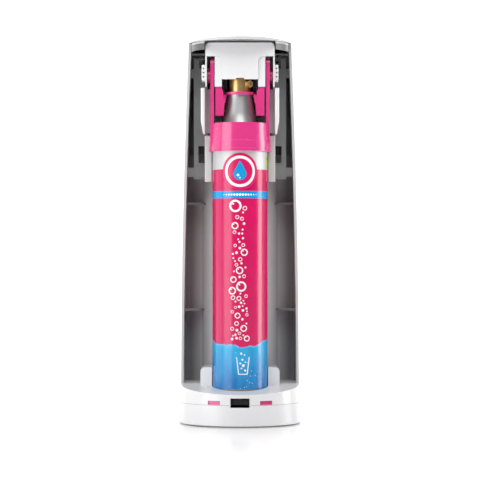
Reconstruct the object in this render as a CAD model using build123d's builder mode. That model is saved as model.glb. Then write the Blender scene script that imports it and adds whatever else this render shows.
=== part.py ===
"""Countertop soda carbonator with its rear cover taken off, so that the gas cylinder bay is open.

Millimetres. +Z is up, -Y is the front (bottle side) and +Y the rear (cylinder side). The origin is on the
surface that the machine stands on, in the middle of its footprint. Right and left are as seen from the front.
"""
from build123d import *
from math import pi, radians, sqrt, tan
import os

os.makedirs("parts", exist_ok=True)

# ------------------------------------------------------------------ driving dimensions
# Outer body: straight sides between two half ellipses, narrower towards the top
SIDE_Y = 37.0               # the straight sides run from -SIDE_Y to +SIDE_Y, where the rear cover would begin
BODY_HALF = 65.2            # half width of the housing at its foot
BODY_TAPER = 0.5            # half width lost per (100 mm of height) squared
END_LESS = 9.0              # an end ellipse is this much shallower than the half width
PAN_HALVES = (67.0, 66.5)   # base pan, at its foot and at the seam
TOP_HALVES = (66.5, 65.2)   # upper base, at the seam and at its top
WALL = 2.8
BASE_WALL = 2.5
BEYOND = 140.0              # larger than the object is wide or deep, for cutters
ABOVE = 500.0               # higher than the object, for cutters
CORNER_R = 12.0             # rounding of the column's front corners

# Heights
PAN_Z = 1.5
SEAM_Z = 24.0
DECK_Z = 32.0               # deck under the bottle
BASE_TOP_Z = 44.0
BASE_REAR_DROP = 10.0       # the base top falls this much from the rim to beyond its rear edge
HEAD_Z = 296.0              # underside of the head
SHELL_TOP_Z = 417.0
CROWN_Z = 421.5
BUTTON_TOP_Z = 426.0

# Gas cylinder, on its own vertical axis
CYL_Y = 45.0
CYL_R = 30.0
CYL_FOOT_Z = 34.0
CYL_SHOULDER_Z = 298.0
CYL_WALL = 3.5
NECK_R = 13.7
NECK_TOP_Z = 364.0
VALVE_R = 11.8
VALVE_TOP_Z = 379.7
PLUG_Z = 372.5
LABEL_T = 0.25
LABEL_Z = (40.0, 278.6)

# Bottle side
BOTTLE_Y = -42.0
RECESS_R = 47.0
RECESS_EDGE_R = 4.0         # rounding where the recess meets the column's front
COLUMN_FRONT_Y = -20.0
TILT_Z = 330.0
TRUNNION_R = 4.0
SOCKET_R = 24.5
SOCKET_BORE = 21.0
SOCKET_Z = (288.0, 318.0)
NOZZLE_BLOCK_Z = (306.0, 340.0)
NOZZLE_TIP_Z = 195.0
NOZZLE_STEP_Z = 250.0
NOZZLE_R = (4.0, 3.0)       # above and below the step

# Lever that locks the cylinder
PIVOT_Z = 382.0
ARM_IN = 28.4
ARM_OUT = 32.4
ARM_TOP_Z = 400.6
BOSS_OUT = 35.8
BAND_Z = (298.5, 329.5)
BAND_IN_R = 30.9
BAND_OUT_R = (34.2, 32.5)   # at its lower and upper edge
PIN_R = 3.0
PIN_OUT = 41.6

# Rear frame of the head
FRAME_HALF = 37.8
FRAME_WALL = 2.5
CHEEK_IN = 36.2
FRAME_Y = (22.0, 64.0)
FRAME_TOP_Z = 417.0
FRAME_LOW_Z = 377.0
SLOT_TOP_Z = 402.0
POST_IN, POST_OUT = 19.8, 27.6      # hollow posts beside the valve
POST_LOW_Z = 369.0
POST_REAR_Y = 62.0

# Carbonating button, and the rocker that it presses
BUTTON_Y = -34.0
BUTTON_R = 28.4
STEM_R = 3.0
STEM_LOW_Z = 408.3
ROCKER_PIVOT = (57.0, 404.0)        # its Y and Z
ROCKER_HALF = 8.0
ROCKER_Z = (400.0, 408.0)
ROCKER_PIN_R = 2.5
VALVE_DECK_Z = (409.0, 411.0)
DECK_Y = (-72.0, 6.0)               # front and rear of the deck
STEM_GUIDE_Z = 415.0                # top of the collar that guides the stem

# Fits
RUN = 0.05                  # radial clearance of a pin or stem that turns or slides in its bore
FREE = 0.1                  # radial clearance of a part that lifts out


# ------------------------------------------------------------------ shapes that several pieces share
def body_half(z):
    """Half width of the outer body at height z."""
    return BODY_HALF - BODY_TAPER * (z / 100) ** 2


def plan_face(half):
    """The body's plan: straight sides closed by two half ellipses."""
    depth = half - END_LESS
    with BuildSketch() as plan:
        with BuildLine():
            Line((half, -SIDE_Y), (half, SIDE_Y))
            EllipticalCenterArc((0, SIDE_Y), half, depth, start_angle=0, arc_size=180)
            Line((-half, SIDE_Y), (-half, -SIDE_Y))
            EllipticalCenterArc((0, -SIDE_Y), half, depth, start_angle=180, arc_size=180)
        make_face()
    return plan.sketch


def loft_plans(levels):
    """Solid through plans given as (height, half width)."""
    with BuildPart() as solid:
        for z, half in levels:
            with BuildSketch(Plane.XY.offset(z)):
                add(plan_face(half))
        loft()
    return solid.part


def body_levels(inset, low, high):
    """Levels of the tapering body between two heights, moved inwards by inset."""
    heights = [low + (high - low) * step / 3 for step in range(4)]
    return [(z, body_half(z) - inset) for z in heights]


def column_face(inset=0.0):
    """Plan of the column behind the bottle, open-ended to the rear, with a round recess in its front."""
    front = COLUMN_FRONT_Y + inset
    recess = RECESS_R + inset
    reach = sqrt(recess**2 - (front - BOTTLE_Y) ** 2)
    with BuildSketch() as plan:
        with BuildLine():
            Polyline((-reach, front), (-BEYOND, front), (-BEYOND, BEYOND), (BEYOND, BEYOND), (BEYOND, front),
                     (reach, front))
            ThreePointArc((reach, front), (0, BOTTLE_Y + recess), (-reach, front))
        make_face()
        mouth = plan.vertices().filter_by(lambda v: abs(v.Y - front) < 0.01 and abs(abs(v.X) - reach) < 0.01)
        fillet(mouth, RECESS_EDGE_R - inset)
    return plan.sketch


def round_corners(solid, y, low, high, radius):
    """Solid with its upright corners rounded where its front at y meets its sides, between two heights."""
    def is_corner(edge):
        middle = edge.center()
        upright = edge.bounding_box().size.Z > 0.8 * (high - low)
        return upright and low < middle.Z < high and abs(middle.Y - y) < 1 and abs(middle.X) > RECESS_R

    with BuildPart() as rounded:
        add(solid)
        fillet(rounded.edges().filter_by(is_corner), radius)
    return rounded.part


def outside_column(inset=0.0):
    """Everything in plan that isn't the column."""
    with BuildSketch() as plan:
        Rectangle(2 * BEYOND - 1, 2 * BEYOND - 1)
        add(column_face(inset), mode=Mode.SUBTRACT)
    return plan.sketch


def block(low, high):
    """Box between two opposite corners."""
    with BuildPart() as solid:
        with BuildSketch(Plane.XY.offset(low[2])):
            with Locations(((low[0] + high[0]) / 2, (low[1] + high[1]) / 2)):
                Rectangle(high[0] - low[0], high[1] - low[1])
        extrude(amount=high[2] - low[2])
    return solid.part


def twin_blocks(low, high):
    """A box on the right and its mirror image on the left."""
    with BuildPart() as solid:
        add(block(low, high))
        mirror(about=Plane.YZ)
    return solid.part


def disc(x, y, z_low, z_high, radius):
    """Upright cylinder."""
    with BuildPart() as solid:
        with BuildSketch(Plane.XY.offset(z_low)):
            with Locations((x, y)):
                Circle(radius)
        extrude(amount=z_high - z_low)
    return solid.part


def cross_rod(x_low, x_high, y, z, radius):
    """Cylinder along X."""
    with BuildPart() as solid:
        with BuildSketch(Plane.YZ.offset(x_low)):
            with Locations((y, z)):
                Circle(radius)
        extrude(amount=x_high - x_low)
    return solid.part


def mirrored(part):
    """The same piece on the other side of the machine."""
    with BuildPart() as other:
        mirror(part, about=Plane.YZ)
    return other.part


def save(part, name):
    """Label a finished piece and write it out."""
    part.label = name
    export_step(part, f"parts/{name}.step")


# ------------------------------------------------------------------ base pan, feet and screws
FOOT_SPOTS = [(44, -52), (-44, -52), (44, 52), (-44, 52)]
FOOT_R = 9.0
FOOT_POCKET = 1.3
SCREW_SPOTS = [(54, -26), (-54, -26), (54, 30), (-54, 30)]
BOSS_R = 5.0
SCREW_SHANK_R = 2.0
SCREW_HEAD_R = 4.2
SCREW_HEAD_Z = (PAN_Z + 1.6, PAN_Z + 4.0)
COVER_SLOT_HALF = 10.2
COVER_SLOT_Z = (21.7, 31.7)
SLOT_INNER_Y = 80.0

with BuildPart() as base_pan:
    add(loft_plans([(PAN_Z, PAN_HALVES[0]), (SEAM_Z, PAN_HALVES[1])]))
    fillet(base_pan.faces().sort_by(Axis.Z)[0].edges(), 1.2)
    with BuildSketch(Plane.XY.offset(PAN_Z + BASE_WALL)):
        add(plan_face(PAN_HALVES[1] - BASE_WALL))
    extrude(amount=SEAM_Z, mode=Mode.SUBTRACT)
    for x, y in SCREW_SPOTS:
        add(disc(x, y, PAN_Z + BASE_WALL, SEAM_Z, BOSS_R))
        add(disc(x, y, PAN_Z, SEAM_Z, SCREW_SHANK_R), mode=Mode.SUBTRACT)
        add(disc(x, y, PAN_Z, SCREW_HEAD_Z[1], SCREW_HEAD_R), mode=Mode.SUBTRACT)
    for x, y in FOOT_SPOTS:
        add(disc(x, y, PAN_Z, PAN_Z + FOOT_POCKET, FOOT_R), mode=Mode.SUBTRACT)
    add(block((-COVER_SLOT_HALF, SLOT_INNER_Y, COVER_SLOT_Z[0]), (COVER_SLOT_HALF, BEYOND, SEAM_Z)),
        mode=Mode.SUBTRACT)
save(base_pan.part, "base_pan")

with BuildPart() as rubber_feet:
    for x, y in FOOT_SPOTS:
        add(disc(x, y, 0, PAN_Z + FOOT_POCKET, FOOT_R))
    fillet(rubber_feet.edges().filter_by(GeomType.CIRCLE).group_by(Axis.Z)[0], 0.6)
save(rubber_feet.part, "rubber_feet")


def cross_head_screw(x, y, head, shank_end, head_r, shank_r, up):
    """Screw with its head between two heights, its shank on to shank_end, and its cross on the far side."""
    outer = head[1] if up else head[0]
    inner = head[0] if up else head[1]
    recess = 0.5 * (outer - inner)
    with BuildPart() as screw:
        add(disc(x, y, head[0], head[1], head_r))
        add(disc(x, y, min(inner, shank_end), max(inner, shank_end), shank_r))
        with BuildSketch(Plane.XY.offset(outer)):
            with Locations((x, y)):
                Rectangle(1.1 * head_r, 0.22 * head_r)
                Rectangle(0.22 * head_r, 1.1 * head_r)
        extrude(amount=-recess, mode=Mode.SUBTRACT)
    return screw.part


with BuildPart() as base_screws:
    for x, y in SCREW_SPOTS:
        add(cross_head_screw(x, y, SCREW_HEAD_Z, SEAM_Z + 5, SCREW_HEAD_R, SCREW_SHANK_R, up=False))
save(base_screws.part, "base_screws")

# ------------------------------------------------------------------ upper base with the cylinder cradle
CRADLE_HALF = 43.4
CRADLE_TOP_Z = 62.4
CRADLE_Y = (10.5, 50.0)
CUP_R = 30.9
CUP_WALL = 2.6
CUP_FLOOR_Z = 26.0
TRAY_Y = -47.0
TRAY_R = 38.0
TRAY_LOW_Z = 28.0
PAD_X, PAD_W = 28.0, 12.9
PAD_Z = (24.4, 28.8)


def base_form(inset):
    """Upper base as a solid: low deck in front, a step under the column, a slope down to the rear."""
    low_z = SEAM_Z if inset == 0 else SEAM_Z - 1
    top_z = BASE_TOP_Z - inset
    rear_y = SIDE_Y + PAN_HALVES[0]
    with BuildPart() as form:
        add(loft_plans([(low_z, TOP_HALVES[0] - inset), (top_z, TOP_HALVES[1] - inset)]))
        with BuildSketch(Plane.XY.offset(DECK_Z - inset)):
            add(outside_column(inset))
        extrude(amount=BEYOND, mode=Mode.SUBTRACT)
        with BuildSketch(Plane.YZ):
            with BuildLine():
                Polyline((SIDE_Y, top_z), (rear_y, top_z - BASE_REAR_DROP), (rear_y, BEYOND),
                         (SIDE_Y, BEYOND),
                         close=True)
            make_face()
        extrude(amount=BEYOND, both=True, mode=Mode.SUBTRACT)
    return round_corners(form.part, COLUMN_FRONT_Y + inset, DECK_Z - inset, top_z, CORNER_R - inset)


with BuildPart() as base_room:
    add(base_form(BASE_WALL))
    add(disc(0, CYL_Y, 0, BASE_TOP_Z, CUP_R + CUP_WALL), mode=Mode.SUBTRACT)
    add(disc(0, TRAY_Y, 0, BASE_TOP_Z, TRAY_R + BASE_WALL), mode=Mode.SUBTRACT)
    for x, y in SCREW_SPOTS:
        add(disc(x, y, 0, BASE_TOP_Z, BOSS_R), mode=Mode.SUBTRACT)

with BuildPart() as cylinder_cradle:
    with BuildSketch(Plane.XZ.offset(-CRADLE_Y[0])):
        with Locations((0, (DECK_Z + CRADLE_TOP_Z) / 2)):
            Rectangle(2 * CRADLE_HALF, CRADLE_TOP_Z - DECK_Z)
    extrude(amount=-(CRADLE_Y[1] - CRADLE_Y[0]))
    fillet(cylinder_cradle.edges().filter_by(Axis.Y).group_by(Axis.Z)[-1], 5.0)
    add(base_form(0.0), mode=Mode.SUBTRACT)
    add(disc(0, CYL_Y, CUP_FLOOR_Z, CRADLE_TOP_Z + 1, CUP_R), mode=Mode.SUBTRACT)
save(cylinder_cradle.part, "cylinder_cradle")

with BuildPart() as base_top:
    add(base_form(0.0))
    add(base_room.part, mode=Mode.SUBTRACT)
    add(disc(0, CYL_Y, CUP_FLOOR_Z, BASE_TOP_Z + 1, CUP_R), mode=Mode.SUBTRACT)
    add(disc(0, TRAY_Y, TRAY_LOW_Z, DECK_Z + 1, TRAY_R + FREE), mode=Mode.SUBTRACT)
    add(block((-COVER_SLOT_HALF, SLOT_INNER_Y, SEAM_Z), (COVER_SLOT_HALF, BEYOND, COVER_SLOT_Z[1])),
        mode=Mode.SUBTRACT)
    add(twin_blocks((PAD_X - PAD_W / 2, SLOT_INNER_Y, PAD_Z[0]), (PAD_X + PAD_W / 2, BEYOND, PAD_Z[1])),
        mode=Mode.SUBTRACT)
    for x, y in SCREW_SPOTS:
        add(disc(x, y, SEAM_Z, SEAM_Z + 5, SCREW_SHANK_R), mode=Mode.SUBTRACT)
save(base_top.part, "base_top")

# Black pad at the bottom of the middle slot, fixed to the cup, and the pink catches behind the side slots
LATCH_Z = (24.2, 29.6)
LATCH_REAR_Y = 88.0
RIB_PITCH = 3.0
with BuildPart() as cover_latch:
    add(block((1 - COVER_SLOT_HALF, CYL_Y + 20, LATCH_Z[0]), (COVER_SLOT_HALF - 1, LATCH_REAR_Y, LATCH_Z[1])))
    add(disc(0, CYL_Y, SEAM_Z, BASE_TOP_Z, CUP_R + CUP_WALL), mode=Mode.SUBTRACT)
    with BuildSketch(Plane.XY.offset(LATCH_Z[0])):
        with Locations((0, LATCH_REAR_Y)):
            with GridLocations(RIB_PITCH, 1, 6, 1):
                Rectangle(0.8, 1.6)
    extrude(amount=LATCH_Z[1] - LATCH_Z[0], mode=Mode.SUBTRACT)
save(cover_latch.part, "cover_latch")


def base_ring(outer, inner):
    """Band between two insets of the upper base's side, at the height of the side slots."""
    with BuildPart() as ring:
        add(loft_plans([(SEAM_Z, TOP_HALVES[0] - outer), (BASE_TOP_Z, TOP_HALVES[1] - outer)]))
        add(loft_plans([(SEAM_Z, TOP_HALVES[0] - inner), (BASE_TOP_Z, TOP_HALVES[1] - inner)]),
            mode=Mode.SUBTRACT)
    return ring.part


with BuildPart() as catch_plugs:
    add(base_ring(1.0, 2.7))
    add(twin_blocks((PAD_X - PAD_W / 2, SLOT_INNER_Y, PAD_Z[0]), (PAD_X + PAD_W / 2, BEYOND, PAD_Z[1])),
        mode=Mode.INTERSECT)
with BuildPart() as cover_catches:
    add(base_ring(2.7, 4.4))
    add(twin_blocks((PAD_X - PAD_W / 2 - 3, SLOT_INNER_Y - 5, SEAM_Z + 0.1),
                    (PAD_X + PAD_W / 2 + 3, BEYOND, PAD_Z[1] + 2)),
        mode=Mode.INTERSECT)
    add(catch_plugs.part)
save(cover_catches.part, "cover_catches")

# --------------------------------------------------------------- housing walls: recess panel, sides and head
PANEL_HALF = 46.5           # half width of the panel behind the bottle
RIB_ZS = (123.0, 242.0)
RIB_T = 2.0
RIB_TIPS = (42.0, 39.0)     # distance of a rib's inner tip from the middle, for each height
OPENING_HALF = 27.5
OPENING_Y = (-82.5, -14.5)
DECK_BOSS_Z = 396.0
DECK_SCREWS = [(47, -4), (-47, -4), (36, -62), (-36, -62)]
DECK_SCREW_R = 1.5


def shell_solid(inset, low, high, column_low, column_high):
    """Column and head as one tapering solid, moved inwards by inset, with its front corners rounded."""
    with BuildPart() as solid:
        add(loft_plans(body_levels(inset, low, high)))
        with BuildSketch(Plane.XY.offset(column_low)):
            add(outside_column(inset))
        extrude(amount=column_high - column_low, mode=Mode.SUBTRACT)
    return round_corners(solid.part, COLUMN_FRONT_Y + inset, column_low, column_high, CORNER_R - inset)


with BuildPart() as shell_form:
    add(shell_solid(0.0, BASE_TOP_Z, SHELL_TOP_Z, BASE_TOP_Z, HEAD_Z))
    add(block((-BEYOND, SIDE_Y, 0), (BEYOND, BEYOND, ABOVE)), mode=Mode.SUBTRACT)

with BuildPart() as shell_walls:
    add(shell_form.part)
    add(shell_solid(WALL, BASE_TOP_Z - 4, SHELL_TOP_Z + 4, BASE_TOP_Z - 4, HEAD_Z + WALL), mode=Mode.SUBTRACT)

with BuildPart() as recess_panel:
    add(shell_walls.part)
    add(block((-PANEL_HALF, -BEYOND, 0), (PANEL_HALF, BEYOND, HEAD_Z)), mode=Mode.INTERSECT)
save(recess_panel.part, "recess_panel")

with BuildPart() as side_ribs:
    for z, tip in zip(RIB_ZS, RIB_TIPS):
        with BuildSketch(Plane.XY.offset(z)):
            with BuildLine():
                Polyline((BEYOND, SIDE_Y - 1), (BODY_HALF, SIDE_Y - 1), (tip, -10),
                         (tip - 4, COLUMN_FRONT_Y + 1),
                         (BEYOND, COLUMN_FRONT_Y + 1), close=True)
            make_face()
        extrude(amount=RIB_T)
    add(shell_form.part, mode=Mode.INTERSECT)
    add(recess_panel.part, mode=Mode.SUBTRACT)

with BuildPart() as side_wall_right:
    add(shell_walls.part)
    add(block((PANEL_HALF, -BEYOND, 0), (BEYOND, BEYOND, HEAD_Z)), mode=Mode.INTERSECT)
    add(side_ribs.part)
save(side_wall_right.part, "side_wall_right")
save(mirrored(side_wall_right.part), "side_wall_left")

with BuildPart() as deck_bosses:
    for x, y in DECK_SCREWS[0::2]:
        add(block((x - 4, y - 5, DECK_BOSS_Z), (BODY_HALF, y + 5, VALVE_DECK_Z[0])))
    mirror(about=Plane.YZ)
    add(shell_form.part, mode=Mode.INTERSECT)

with BuildPart() as head_shell:
    add(shell_walls.part)
    add(block((-BEYOND, -BEYOND, HEAD_Z), (BEYOND, BEYOND, ABOVE)), mode=Mode.INTERSECT)
    add(deck_bosses.part)
    with BuildSketch(Plane.XY.offset(HEAD_Z)):
        with Locations((0, sum(OPENING_Y) / 2)):
            RectangleRounded(2 * OPENING_HALF, OPENING_Y[1] - OPENING_Y[0], OPENING_HALF - 1)
    extrude(amount=WALL, mode=Mode.SUBTRACT)
    for x, y in DECK_SCREWS:
        add(disc(x, y, DECK_BOSS_Z + 3, VALVE_DECK_Z[0], DECK_SCREW_R), mode=Mode.SUBTRACT)
save(head_shell.part, "head_shell")

# ------------------------------------------------------------------ plates that line the bay beside the head
LINER_Y = (10.0, 12.0)
LINER_X = (36.0, 51.6)
LINER_Z = (270.0, 405.0)
LINER_WINDOWS = [(38.0, 45.5, 394.0, 403.0), (39.4, 46.4, 288.0, 307.0)]    # x, x, z, z
LINER_SQUARE = (39.0, 50.0, 272.0, 286.0)
LINER_TABS = (278.0, 388.0)

with BuildPart() as bay_liner_right:
    add(block((LINER_X[0], LINER_Y[0], LINER_Z[0]), (LINER_X[1], LINER_Y[1], LINER_Z[1])))
    for z in LINER_TABS:
        add(block((LINER_X[1], LINER_Y[0], z - 5), (BODY_HALF, LINER_Y[1], z + 5)))
    add(loft_plans(body_levels(WALL, BASE_TOP_Z - 4, SHELL_TOP_Z + 4)), mode=Mode.INTERSECT)
    for x_low, x_high, z_low, z_high in LINER_WINDOWS:
        add(block((x_low, 0, z_low), (x_high, SIDE_Y, z_high)), mode=Mode.SUBTRACT)
    add(block((LINER_SQUARE[0], LINER_Y[1], LINER_SQUARE[2]),
              (LINER_SQUARE[1], LINER_Y[1] + 0.6, LINER_SQUARE[3])))
save(bay_liner_right.part, "bay_liner_right")
save(mirrored(bay_liner_right.part), "bay_liner_left")

# ------------------------------------------------------------------ top cover
CROWN_ARC_DROP = 2.2        # the top is this much lower at CROWN_ARC_X than in the middle
CROWN_ARC_X = 52.0
CROWN_UNDER_Z = 419.0
HOLE_R = 29.0
FLANGE_LOW_Z = 409.0
FLANGE_FROM_X = 38.5
WEB_HALF = 1.0

with BuildPart() as crown_flange:
    add(loft_plans([(FLANGE_LOW_Z, body_half(FLANGE_LOW_Z) - 3.0),
                    (CROWN_UNDER_Z, body_half(CROWN_UNDER_Z) - 3.0)]))
    add(loft_plans([(FLANGE_LOW_Z, body_half(FLANGE_LOW_Z) - 5.0),
                    (CROWN_UNDER_Z, body_half(CROWN_UNDER_Z) - 5.0)]),
        mode=Mode.SUBTRACT)
    add(twin_blocks((FLANGE_FROM_X, SIDE_Y + 1, FLANGE_LOW_Z), (BODY_HALF, BEYOND, CROWN_UNDER_Z)),
        mode=Mode.INTERSECT)

with BuildPart() as top_cover:
    add(loft_plans([(SHELL_TOP_Z, body_half(SHELL_TOP_Z)), (CROWN_Z, body_half(CROWN_Z) - 0.3)]))
    with BuildSketch(Plane.XZ):
        with BuildLine():
            ThreePointArc((-CROWN_ARC_X, CROWN_Z - CROWN_ARC_DROP), (0, CROWN_Z),
                          (CROWN_ARC_X, CROWN_Z - CROWN_ARC_DROP))
            Polyline((CROWN_ARC_X, CROWN_Z - CROWN_ARC_DROP), (BODY_HALF, CROWN_Z - 1.6 * CROWN_ARC_DROP),
                     (BODY_HALF, CROWN_Z + 5), (-BODY_HALF, CROWN_Z + 5),
                     (-BODY_HALF, CROWN_Z - 1.6 * CROWN_ARC_DROP),
                     (-CROWN_ARC_X, CROWN_Z - CROWN_ARC_DROP))
        make_face()
    extrude(amount=BEYOND, both=True, mode=Mode.SUBTRACT)
    with BuildSketch(Plane.XY.offset(SHELL_TOP_Z)):
        add(plan_face(body_half(SHELL_TOP_Z) - WALL))
    extrude(amount=CROWN_UNDER_Z - 1 - SHELL_TOP_Z, mode=Mode.SUBTRACT)
    add(block((-BEYOND, SIDE_Y, SHELL_TOP_Z), (BEYOND, BEYOND, CROWN_UNDER_Z - 1)), mode=Mode.SUBTRACT)
    add(crown_flange.part)
    add(disc(0, BUTTON_Y, SHELL_TOP_Z - 1, CROWN_Z + 1, HOLE_R), mode=Mode.SUBTRACT)
save(top_cover.part, "top_cover")

# ------------------------------------------------------------------ rear frame of the head
FRAME_CORNER_R = 5.0
NOTCH_HALF, NOTCH_H = 4.35, 1.5
CHEEK_LOW_Z = 369.0
SUPPORT_X = (8.4, 12.0)
SUPPORT_R = 5.0
ARCH_R = 6.0

with BuildPart() as frame_opening:
    # cut from the frame's rear: a slot for each arm and post, arched over the post, and a gap under the block
    with BuildSketch(Plane.XZ.offset(-FRAME_Y[1] + FRAME_WALL)):
        with Locations(((POST_IN + CHEEK_IN) / 2, (CHEEK_LOW_Z + SLOT_TOP_Z) / 2)):
            Rectangle(CHEEK_IN - POST_IN, SLOT_TOP_Z - CHEEK_LOW_Z)
    extrude(amount=-FRAME_WALL)
    fillet(frame_opening.edges().filter_by(Axis.Y).group_by(Axis.Z)[-1].sort_by(Axis.X)[0], ARCH_R)
    mirror(about=Plane.YZ)
    add(block((-POST_IN, FRAME_Y[1] - FRAME_WALL, CHEEK_LOW_Z), (POST_IN, FRAME_Y[1], FRAME_LOW_Z)))
    add(block((-NOTCH_HALF, FRAME_Y[1] - FRAME_WALL, FRAME_LOW_Z),
              (NOTCH_HALF, FRAME_Y[1], FRAME_LOW_Z + NOTCH_H)))

with BuildPart() as head_frame:
    add(block((-FRAME_HALF, FRAME_Y[0], CHEEK_LOW_Z), (FRAME_HALF, FRAME_Y[1], FRAME_TOP_Z)))
    fillet(head_frame.edges().filter_by(Axis.Y).group_by(Axis.Z)[-1], FRAME_CORNER_R)
    add(block((-CHEEK_IN, FRAME_Y[0] - 1, 0), (CHEEK_IN, FRAME_Y[1] - FRAME_WALL, FRAME_TOP_Z - FRAME_WALL)),
        mode=Mode.SUBTRACT)
    add(frame_opening.part, mode=Mode.SUBTRACT)
    # hollow posts, open towards the front
    add(twin_blocks((POST_IN, FRAME_Y[0] + 6, POST_LOW_Z), (POST_OUT, POST_REAR_Y, FRAME_TOP_Z - 1)))
    add(twin_blocks((POST_IN + 2, FRAME_Y[0], 0),
                    (POST_OUT - 1.8, POST_REAR_Y - FRAME_WALL, FRAME_TOP_Z - 5)),
        mode=Mode.SUBTRACT)
    # supports of the rocker's pin
    add(twin_blocks((SUPPORT_X[0], ROCKER_PIVOT[0] - SUPPORT_R, ROCKER_Z[0] - 2),
                    (SUPPORT_X[1], FRAME_Y[1] - 1, ROCKER_Z[1])))
    add(cross_rod(-SUPPORT_X[1], SUPPORT_X[1], *ROCKER_PIVOT, ROCKER_PIN_R), mode=Mode.SUBTRACT)
    add(cross_rod(-FRAME_HALF, FRAME_HALF, CYL_Y, PIVOT_Z, PIN_R + 0.3), mode=Mode.SUBTRACT)
save(head_frame.part, "head_frame")

with BuildPart() as rocker_pin:
    add(cross_rod(-SUPPORT_X[1], SUPPORT_X[1], *ROCKER_PIVOT, ROCKER_PIN_R))
    chamfer(rocker_pin.edges().filter_by(GeomType.CIRCLE), 0.4)
save(rocker_pin.part, "rocker_pin")

# ------------------------------------------------------------- brackets, rails and bearings beside the lever
BRACKET_Z = (318.0, 368.0)
BRACKET_X = (38.0, 42.8)
BRACKET_Y = (36.0, 58.0)
BRACKET_WEB_X = 32.8
RAIL_X = (31.0, 38.7)
RAIL_Z = (266.0, 316.5)
RAIL_Y = (40.0, 44.0)
BEARING_Z = (376.0, 393.0)
BEARING_Y = (36.0, 60.0)
BEARING_X = (FRAME_HALF, 41.8)
BEARING_HOLES = 3
BEARING_PITCH = 4.6

with BuildPart() as side_bracket_right:
    add(block((BRACKET_X[0], BRACKET_Y[0], BRACKET_Z[0]), (BRACKET_X[1], BRACKET_Y[1], BRACKET_Z[1])))
    fillet(side_bracket_right.edges().filter_by(Axis.Z).group_by(Axis.Y)[-1], 1.8)
    with BuildSketch(Plane.XZ.offset(-BRACKET_Y[0] + 1)):
        with BuildLine():
            Polyline((BRACKET_X[1] - 2.5, BRACKET_Z[0] - 1), (BRACKET_X[1] + 1, BRACKET_Z[0] - 1),
                     (BRACKET_X[1] + 1, BRACKET_Z[0] + 14), (BRACKET_X[1], BRACKET_Z[0] + 14), close=True)
        make_face()
    extrude(amount=-(BRACKET_Y[1] - BRACKET_Y[0] + 2), mode=Mode.SUBTRACT)
    add(block((BRACKET_WEB_X, BRACKET_Y[0], BRACKET_Z[0] + 2),
              (BRACKET_X[0], BRACKET_Y[0] + 2, BRACKET_Z[1])))
    add(block((BRACKET_X[0], LINER_Y[1], BRACKET_Z[0] + 16),
              (BRACKET_X[0] + 2, BRACKET_Y[0], BRACKET_Z[1] - 4)))
save(side_bracket_right.part, "side_bracket_right")
save(mirrored(side_bracket_right.part), "side_bracket_left")

with BuildPart() as guide_rail_right:
    add(block((RAIL_X[0], RAIL_Y[0], RAIL_Z[0]), (RAIL_X[1], RAIL_Y[1], RAIL_Z[1])))
    fillet(guide_rail_right.edges().filter_by(Axis.Z).group_by(Axis.Y)[-1], 0.8)
    add(block((RAIL_X[1] - 2, LINER_Y[1], RAIL_Z[0] + 6), (RAIL_X[1], RAIL_Y[0], RAIL_Z[1] - 6)))
save(guide_rail_right.part, "guide_rail_right")
save(mirrored(guide_rail_right.part), "guide_rail_left")

with BuildPart() as pivot_bearing_right:
    add(block((BEARING_X[0], BEARING_Y[0], BEARING_Z[0]), (BEARING_X[1], BEARING_Y[1], BEARING_Z[1])))
    fillet(pivot_bearing_right.faces().sort_by(Axis.X)[-1].edges(), 0.8)
    add(cross_rod(FRAME_HALF, BEARING_X[1], CYL_Y, PIVOT_Z, PIN_R + RUN), mode=Mode.SUBTRACT)
    with BuildSketch(Plane.XZ.offset(-BEARING_Y[1])):
        with Locations((sum(BEARING_X) / 2, sum(BEARING_Z) / 2)):
            with GridLocations(1, BEARING_PITCH, 1, BEARING_HOLES):
                Circle(0.9)
    extrude(amount=5, mode=Mode.SUBTRACT)
save(pivot_bearing_right.part, "pivot_bearing_right")
save(mirrored(pivot_bearing_right.part), "pivot_bearing_left")

# ------------------------------------------------------------------ valve block, gas line and valve deck
BLOCK_R = 17.5
BLOCK_Z = (380.0, 396.0)
BLOCK_SHELL_R = 14.2
BLOCK_SHELL_LOW_Z = 365.0
BLOCK_SHELL_REAR_Y = 43.0
EAR_Y = (38.0, 52.0)
GASKET_R = (3.4, 7.0)
GASKET_Z = (379.8, 381.5)
PUSH_PIN_R = 2.4
RELIEF_SPOT = (13.5, 35.0)
HOSE_R = 2.5
ELBOW_X = 42.0
HANGER_X = (29.0, 32.0)
HANGER_Y = (-52.0, -32.0)
HANGER_LOW_Z = 320.0

with BuildPart() as valve_block:
    add(disc(0, CYL_Y, BLOCK_SHELL_LOW_Z, BLOCK_Z[1], BLOCK_R))
    fillet(valve_block.edges().filter_by(GeomType.CIRCLE).group_by(Axis.Z)[-1], 1.5)
    add(disc(0, CYL_Y, 0, BLOCK_Z[0], BLOCK_SHELL_R), mode=Mode.SUBTRACT)
    add(block((-BEYOND, BLOCK_SHELL_REAR_Y, 0), (BEYOND, BEYOND, BLOCK_Z[0])), mode=Mode.SUBTRACT)
    add(block((-BEYOND, FRAME_Y[1] - FRAME_WALL, 0), (BEYOND, BEYOND, BLOCK_Z[1])), mode=Mode.SUBTRACT)
    add(twin_blocks((BLOCK_R - 2, EAR_Y[0], BLOCK_Z[0] + 2), (POST_IN, EAR_Y[1], BLOCK_Z[1] - 2)))
    add(disc(0, CYL_Y, BLOCK_Z[0], GASKET_Z[1], GASKET_R[1]), mode=Mode.SUBTRACT)
    add(disc(0, CYL_Y, BLOCK_Z[0], BLOCK_Z[1], PUSH_PIN_R + RUN), mode=Mode.SUBTRACT)
save(valve_block.part, "valve_block")

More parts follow.
